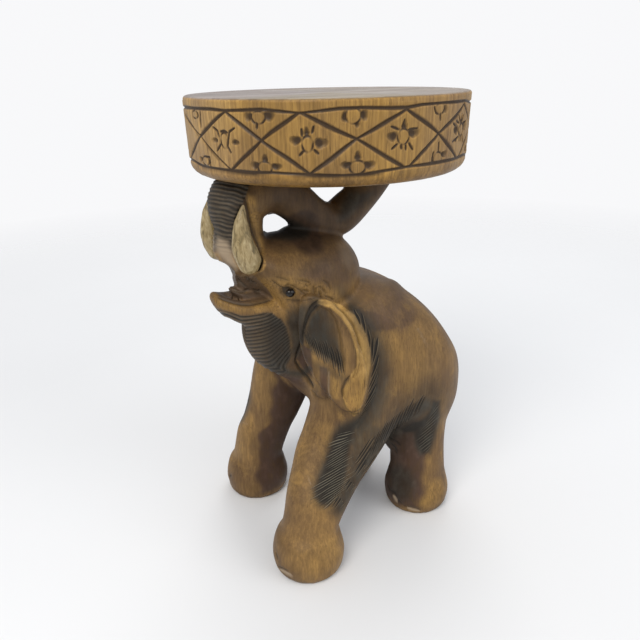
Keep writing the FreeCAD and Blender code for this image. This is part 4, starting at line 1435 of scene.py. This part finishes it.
def less(tree, a, b):
    return maths(tree, "SUBTRACT", a, b)


def tinted(tree, base, colour):
    return mix(tree, 1.0, base, colour, "MULTIPLY")


def attribute(tree, name):
    return node(tree, "ShaderNodeAttribute", attribute_name=name).outputs["Fac"]


def set_in(tree, shader, name, value):
    if isinstance(value, (int, float, tuple)):
        shader.inputs[name].default_value = value
    else:
        tree.links.new(value, shader.inputs[name])


def wood_base(tree, pale, mid, deep):
    """Wood colour with soft patches, upright grain and short dark pores."""
    patches = noise(tree, mapped(tree, (9, 9, 6)), 1.6, 5, 0.62, 0.4)
    grain = noise(tree, mapped(tree, (380, 380, 24)), 1.0, 5, 0.7, 0.15)
    fine = noise(tree, mapped(tree, (1000, 1000, 80)), 1.0, 4, 0.65)
    base = ramp(tree, patches, ((0.30, deep), (0.50, mid), (0.68, pale)))
    base = mix(tree, levels(tree, grain, 0.40, 0.62, 0.0, 0.50), base,
               tinted(tree, base, (0.46, 0.42, 0.40)))
    base = mix(tree, levels(tree, grain, 0.48, 0.34, 0.0, 0.25), base,
               tinted(tree, base, (1.5, 1.42, 1.2)))
    base = mix(tree, levels(tree, fine, 0.57, 0.70, 0.0, 0.6), base, (0.045, 0.026, 0.013))
    return base, grain, fine


def grain_bump(tree, shader, grain, fine, strength):
    height = maths(tree, "ADD", times(tree, grain, 0.5), times(tree, fine, 0.35))
    bumped = node(tree, "ShaderNodeBump", [("Height", height)], in_Strength=strength,
                  in_Distance=0.0006)
    tree.links.new(bumped.outputs[0], shader.inputs["Normal"])


def hair_lines(tree, name, half, edge):
    """Tapering strokes of uneven length, half wide as a share of their pitch, and the light edge beside each."""
    number, down, mask = (attribute(tree, name + end) for end in ("_number", "_down", ""))
    own = maths(tree, "FLOOR", number)
    chance = node(tree, "ShaderNodeTexWhiteNoise", [("W", own)], noise_dimensions="1D")
    apart = node(tree, "ShaderNodeSeparateColor", [("Color", chance.outputs["Color"])])
    first = levels(tree, apart.outputs[0], 0, 1, -0.20, 0.18)
    reach = levels(tree, apart.outputs[1], 0, 1, 0.80, 1.1)
    t = maths(tree, "DIVIDE", less(tree, down, first), reach)
    arch = times(tree, times(tree, t, less(tree, 1.0, t)), 4.0)
    wide = times(tree, maths(tree, "POWER", maths(tree, "MAXIMUM", arch, 0.0), 0.6), half)
    off = less(tree, maths(tree, "FRACT", number), levels(tree, apart.outputs[2], 0, 1, 0.45, 0.55))
    gap = less(tree, maths(tree, "ABSOLUTE", off), wide)
    line = levels(tree, gap, 0.03, -0.09)
    shown = times(tree, mask, levels(tree, arch, 0.0, 0.12))
    side = less(tree,
                maths(tree, "ABSOLUTE", less(tree, off, maths(tree, "ADD", wide, edge * 0.6))),
                edge * 0.5)
    return times(tree, line, shown), times(tree, levels(tree, side, edge * 0.4, -edge * 0.3), shown)


def elephant_material():
    material, tree, shader = new_material("carved_wood")
    base, grain, fine = wood_base(tree, (0.345, 0.200, 0.062), (0.220, 0.128, 0.046),
            (0.112, 0.062, 0.027))
    cloud = noise(tree, mapped(tree, (7, 7, 5)), 1.3, 3, 0.5, 0.8)
    base = mix(tree, levels(tree, cloud, 0.50, 0.68, 0.0, 0.55), base, (0.095, 0.052, 0.029))
    flecks = noise(tree, mapped(tree, (34, 34, 22)), 1.0, 7, 0.75, 0.5)
    base = mix(tree, levels(tree, flecks, 0.53, 0.68, 0.0, 0.55), base, (0.355, 0.205, 0.058))
    base = mix(tree, levels(tree, flecks, 0.46, 0.33, 0.0, 0.45), base, (0.105, 0.060, 0.030))
    worn = noise(tree, mapped(tree, (120, 120, 60)), 1.0, 4, 0.6)
    dark, cut, gold, plum, deep, pale = (attribute(tree, name) for name in PAINTS)
    golden = mix(tree, levels(tree, fine, 0.48, 0.64), (0.40, 0.232, 0.062), (0.14, 0.076, 0.024))
    golden = mix(tree, levels(tree, worn, 0.42, 0.66, 0.0, 0.6), golden, (0.21, 0.115, 0.036))
    base = mix(tree, levels(tree, gold, 0.1, 0.9, 0.0, 0.85), base, golden)
    base = mix(tree, levels(tree, gold, 0.9, 1.3, 0.0, 0.75), base,
               mix(tree, levels(tree, worn, 0.46, 0.70), (0.56, 0.34, 0.105), (0.30, 0.17, 0.05)))
    # Purple: stain on the back, and painted shade on undersides, inner leg sides and in the mouth.
    plum_stain_and_shade = mix(tree, levels(tree, worn, 0.35, 0.68), (0.046, 0.024, 0.016), (0.088, 0.050, 0.034))
    base = mix(tree, times(tree, plum, levels(tree, worn, 0.30, 0.55, 0.75, 1.0)), base, plum_stain_and_shade)
    # Deep brown: stain on the head and trunk, and painted shade under the loop, by the neck and in the mouth.
    brown = mix(tree, levels(tree, worn, 0.35, 0.70), (0.028, 0.016, 0.010), (0.060, 0.034, 0.020))
    base = mix(tree, deep, base, brown)
    # Grey-black: darker wood on the trunk and throat, and painted shade in the ear's hollow, behind the ear,
    # round the loop and under the belly.
    soft = times(tree, dark, levels(tree, worn, 0.30, 0.60, 0.82, 1.0))
    base = mix(tree, soft, base, mix(tree, levels(tree, worn, 0.38, 0.70), (0.020, 0.017, 0.013),
            (0.056, 0.049, 0.036)))
    # Near-black painted shade in the carved grooves and hollows.
    base = mix(tree, times(tree, cut, 0.94, True), base, (0.014, 0.011, 0.008))
    # Pinkish grey: lighter wood on the snout, chips and scratches, and painted highlights on crests and the
    # back's upper faces.
    base = mix(tree, times(tree, pale, 0.9, True), base, (0.40, 0.305, 0.205))
    # Ink strokes are painted near-black as painted shade in their cuts, each with a paler edge beside it as a
    # painted highlight; wisps are painted pale with a dark line beside them.
    ink, beside = hair_lines(tree, "ink", 0.31, 0.12)
    wisp, under = hair_lines(tree, "wisp", 0.14, 0.16)
    base = mix(tree, times(tree, beside, 0.32), base, (0.30, 0.23, 0.14))
    base = mix(tree, times(tree, ink, 0.93), base, (0.010, 0.008, 0.006))
    base = mix(tree, times(tree, under, 0.6), base, (0.012, 0.010, 0.008))
    base = mix(tree, times(tree, wisp, 0.40), base, (0.34, 0.31, 0.22))
    # Sharp ridges are painted lighter as painted highlights, and creases darker as painted shade.
    edges = node(tree, "ShaderNodeNewGeometry").outputs["Pointiness"]
    base = mix(tree, levels(tree, edges, 0.508, 0.57, 0.0, 0.38), base,
               tinted(tree, base, (1.8, 1.65, 1.4)))
    base = mix(tree, levels(tree, edges, 0.497, 0.44, 0.0, 0.65), base,
               tinted(tree, base, (0.32, 0.30, 0.29)))
    set_in(tree, shader, "Base Color", base)
    set_in(tree, shader, "Roughness", levels(tree, noise(tree, mapped(tree, (40, 40, 24)), 1.0, 4),
            0.3, 0.7, 0.42, 0.60))
    set_in(tree, shader, "Specular IOR Level", 0.22)
    grain_bump(tree, shader, grain, fine, 0.35)
    return material


def seat_material():
    material, tree, shader = new_material("seat_wood")
    base, grain, fine = wood_base(tree, (0.46, 0.265, 0.060), (0.345, 0.200, 0.056),
            (0.215, 0.125, 0.046))
    streak = noise(tree, mapped(tree, (520, 520, 16)), 1.0, 3, 0.6, 0.1)
    base = mix(tree, levels(tree, streak, 0.48, 0.60, 0.0, 0.5), base,
               tinted(tree, base, (0.50, 0.46, 0.48)))
    wide = noise(tree, mapped(tree, (60, 60, 3)), 1.0, 4, 0.6, 0.3)
    base = mix(tree, levels(tree, wide, 0.45, 0.65, 0.0, 0.4), base, (0.32, 0.178, 0.040))
    geometry = node(tree, "ShaderNodeNewGeometry")
    apart = node(tree, "ShaderNodeSeparateXYZ", [("Vector", geometry.outputs["Normal"])])
    place = node(tree, "ShaderNodeSeparateXYZ", [("Vector", mapped(tree, (1, 1, 1)))])
    # The seat's lower rounded edge is painted darker: painted shade beneath the overhang.
    low = levels(tree, place.outputs["Z"], 0.404, 0.396)
    base = mix(tree, times(tree, low, 0.85), base, tinted(tree, base, (0.62, 0.56, 0.40)))
    top = levels(tree, apart.outputs["Z"], 0.55, 0.9)
    rings = noise(tree, mapped(tree, (90, 7, 40), (0, 0, 0.5)), 1.0, 6, 0.65, 0.6)
    top_colour = ramp(tree, rings, ((0.35, (0.135, 0.098, 0.058)), (0.55, (0.220, 0.165, 0.098)),
            (0.72, (0.310, 0.245, 0.150))))
    base = mix(tree, top, base, top_colour)
    groove = attribute(tree, "groove")
    base = mix(tree, times(tree, attribute(tree, "rosy"), 0.75), base,
               tinted(tree, base, (1.28, 1.42, 2.3)))
    # The carved cuts are painted dark: painted shade.
    base = mix(tree, levels(tree, groove, 0.05, 0.65, 0.0, 0.93), base, (0.034, 0.019, 0.010))
    # Sharp edges are painted lighter: painted highlights.
    edges = geometry.outputs["Pointiness"]
    base = mix(tree, levels(tree, edges, 0.51, 0.57, 0.0, 0.35), base,
               tinted(tree, base, (1.7, 1.55, 1.3)))
    set_in(tree, shader, "Base Color", base)
    rough = noise(tree, mapped(tree, (30, 30, 30)), 1.0, 4)
    set_in(tree, shader, "Roughness", levels(tree, rough, 0.3, 0.7, 0.40, 0.55))
    set_in(tree, shader, "Specular IOR Level", 0.25)
    grain_bump(tree, shader, grain, fine, 0.4)
    return material


def tusk_material():
    material, tree, shader = new_material("tusk_wood")
    streaks = noise(tree, mapped(tree, (240, 240, 70)), 1.0, 5, 0.62, 0.9)
    base = ramp(tree, streaks, ((0.30, (0.085, 0.066, 0.026)), (0.45, (0.25, 0.180, 0.075)),
            (0.60, (0.38, 0.290, 0.145)), (0.74, (0.50, 0.42, 0.24))))
    spots = noise(tree, mapped(tree, (500, 500, 160)), 1.0, 3)
    base = mix(tree, levels(tree, spots, 0.62, 0.72, 0.0, 0.6), base, (0.05, 0.035, 0.018))
    set_in(tree, shader, "Base Color", base)
    set_in(tree, shader, "Roughness", levels(tree, streaks, 0.3, 0.7, 0.5, 0.38))
    bumped = node(tree, "ShaderNodeBump", [("Height", streaks)], in_Strength=0.35,
                  in_Distance=0.0007)
    tree.links.new(bumped.outputs[0], shader.inputs["Normal"])
    return material


def eye_material():
    material, tree, shader = new_material("eye_bead")
    spots = noise(tree, mapped(tree, (300, 300, 300)), 1.0, 3)
    set_in(tree, shader, "Base Color",
           ramp(tree, spots, ((0.35, (0.004, 0.003, 0.003)), (0.7, (0.012, 0.008, 0.006)))))
    set_in(tree, shader, "Roughness", levels(tree, spots, 0.3, 0.7, 0.04, 0.09))
    set_in(tree, shader, "Specular IOR Level", 0.35)
    return material


def dowel_material():
    material, tree, shader = new_material("dowel_wood")
    grain = noise(tree, mapped(tree, (300, 300, 20)), 1.0, 4)
    set_in(tree, shader, "Base Color",
           ramp(tree, grain, ((0.35, (0.30, 0.18, 0.08)), (0.7, (0.52, 0.36, 0.19)))))
    set_in(tree, shader, "Roughness", 0.7)
    return material


def floor_material():
    material, tree, shader = new_material("pale_floor")
    tone = noise(tree, mapped(tree, (1.2, 1.2, 1.2)), 1.0, 2)
    set_in(tree, shader, "Base Color",
           ramp(tree, tone, ((0.3, (0.79, 0.79, 0.79)), (0.7, (0.83, 0.83, 0.83)))))
    set_in(tree, shader, "Roughness", 0.7)
    set_in(tree, shader, "Specular IOR Level", 0.1)
    far = node(tree, "ShaderNodeVectorMath", [(0, mapped(tree, (1, 1, 1)))],
               operation="LENGTH").outputs["Value"]
    clear = node(tree, "ShaderNodeBsdfTransparent")
    fade = node(tree, "ShaderNodeMixShader", [(0, levels(tree, far, 0.55, 1.9))])
    tree.links.new(shader.outputs[0], fade.inputs[1])
    tree.links.new(clear.outputs[0], fade.inputs[2])
    tree.links.new(fade.outputs[0], tree.nodes["Material Output"].inputs["Surface"])
    return material


def dress(obj, material, *nodes, slot):
    obj.data.materials.clear()
    obj.data.materials.append(material)
    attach(obj, "root")
    if nodes:
        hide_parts(*nodes)


elephant_obj = elephant_mesh()
dress(elephant_obj, elephant_material(), "elephant", slot="elephant_wood")
seat_obj = seat_mesh()
dress(seat_obj, seat_material(), "seat", slot="seat_wood")
tusk_wood = tusk_material()
eye_gloss = eye_material()
for side, word in ((1, "left"), (-1, "right")):
    dress(tusk_mesh(side), tusk_wood, "tusk_" + word, slot="tusk_wood")
    dress(eye_mesh(side), eye_gloss, "eye_" + word, slot="eye_bead")
dowel_wood = dowel_material()
for name in ("seat_dowel_front", "seat_dowel_rear"):
    frame["nodes"][name].data.materials.clear()
    frame["nodes"][name].data.materials.append(dowel_wood)


# Floor, light and camera

def floor_mesh():
    verts = np.array([(-6000, -6000, 0), (6000, -6000, 0), (6000, 6000, 0), (-6000, 6000, 0)],
                     float)
    floor = make_mesh("pale_floor", verts, [(0, 1, 2, 3)], False)
    floor.data.materials.append(floor_material())


def lamp(name, place, target, size, watts, colour=(1, 1, 1)):
    light = bpy.data.lights.new(name, "AREA")
    light.shape = "DISK"
    light.size = size
    light.energy = watts
    light.color = colour
    obj = bpy.data.objects.new(name, light)
    bpy.context.scene.collection.objects.link(obj)
    obj.location = Vector(place)
    aim = Vector(target) - Vector(place)
    obj.rotation_euler = aim.to_track_quat("-Z", "Y").to_euler()


def world():
    made = bpy.data.worlds.new("studio")
    made.use_nodes = True
    tree = made.node_tree
    back = tree.nodes["Background"]
    path = node(tree, "ShaderNodeLightPath")
    bright = node(tree, "ShaderNodeBackground", in_Color=(0.940, 0.942, 0.955, 1), in_Strength=1.0)
    back.inputs["Color"].default_value = (0.92, 0.95, 1.0, 1)
    back.inputs["Strength"].default_value = 0.66
    choose = node(tree, "ShaderNodeMixShader")
    tree.links.new(path.outputs["Is Camera Ray"], choose.inputs[0])
    tree.links.new(back.outputs[0], choose.inputs[1])
    tree.links.new(bright.outputs[0], choose.inputs[2])
    tree.links.new(choose.outputs[0], tree.nodes["World Output"].inputs["Surface"])
    bpy.context.scene.world = made


def camera():
    right = Vector((AIM[0], AIM[1], 0))
    ahead = Vector((-AIM[1] * math.cos(PITCH), AIM[0] * math.cos(PITCH), -math.sin(PITCH)))
    up = right.cross(ahead)
    tilted_right = right * math.cos(ROLL) + up * math.sin(ROLL)
    tilted_up = up * math.cos(ROLL) - right * math.sin(ROLL)
    made = bpy.data.cameras.new("photo_camera")
    made.sensor_width = 36.0
    made.lens = FOCAL / 640 * 36.0
    obj = bpy.data.objects.new("photo_camera", made)
    bpy.context.scene.collection.objects.link(obj)
    turn = Matrix((tilted_right, tilted_up, -ahead)).transposed().to_4x4()
    obj.matrix_world = Matrix.Translation(Vector(EYE_POINT * MM + SHIFT)) @ turn
    bpy.context.scene.camera = obj


floor_mesh()
world()
lamp("key", (0.9, -1.3, 1.9), (0, 0, 0.2), 1.3, 27, (1.0, 0.97, 0.93))
lamp("fill", (1.6, 1.0, 1.3), (0, 0, 0.25), 1.6, 12)
lamp("back", (-1.2, 0.9, 1.8), (0, 0, 0.3), 1.4, 12)
camera()
bpy.context.scene.view_settings.view_transform = "Standard"
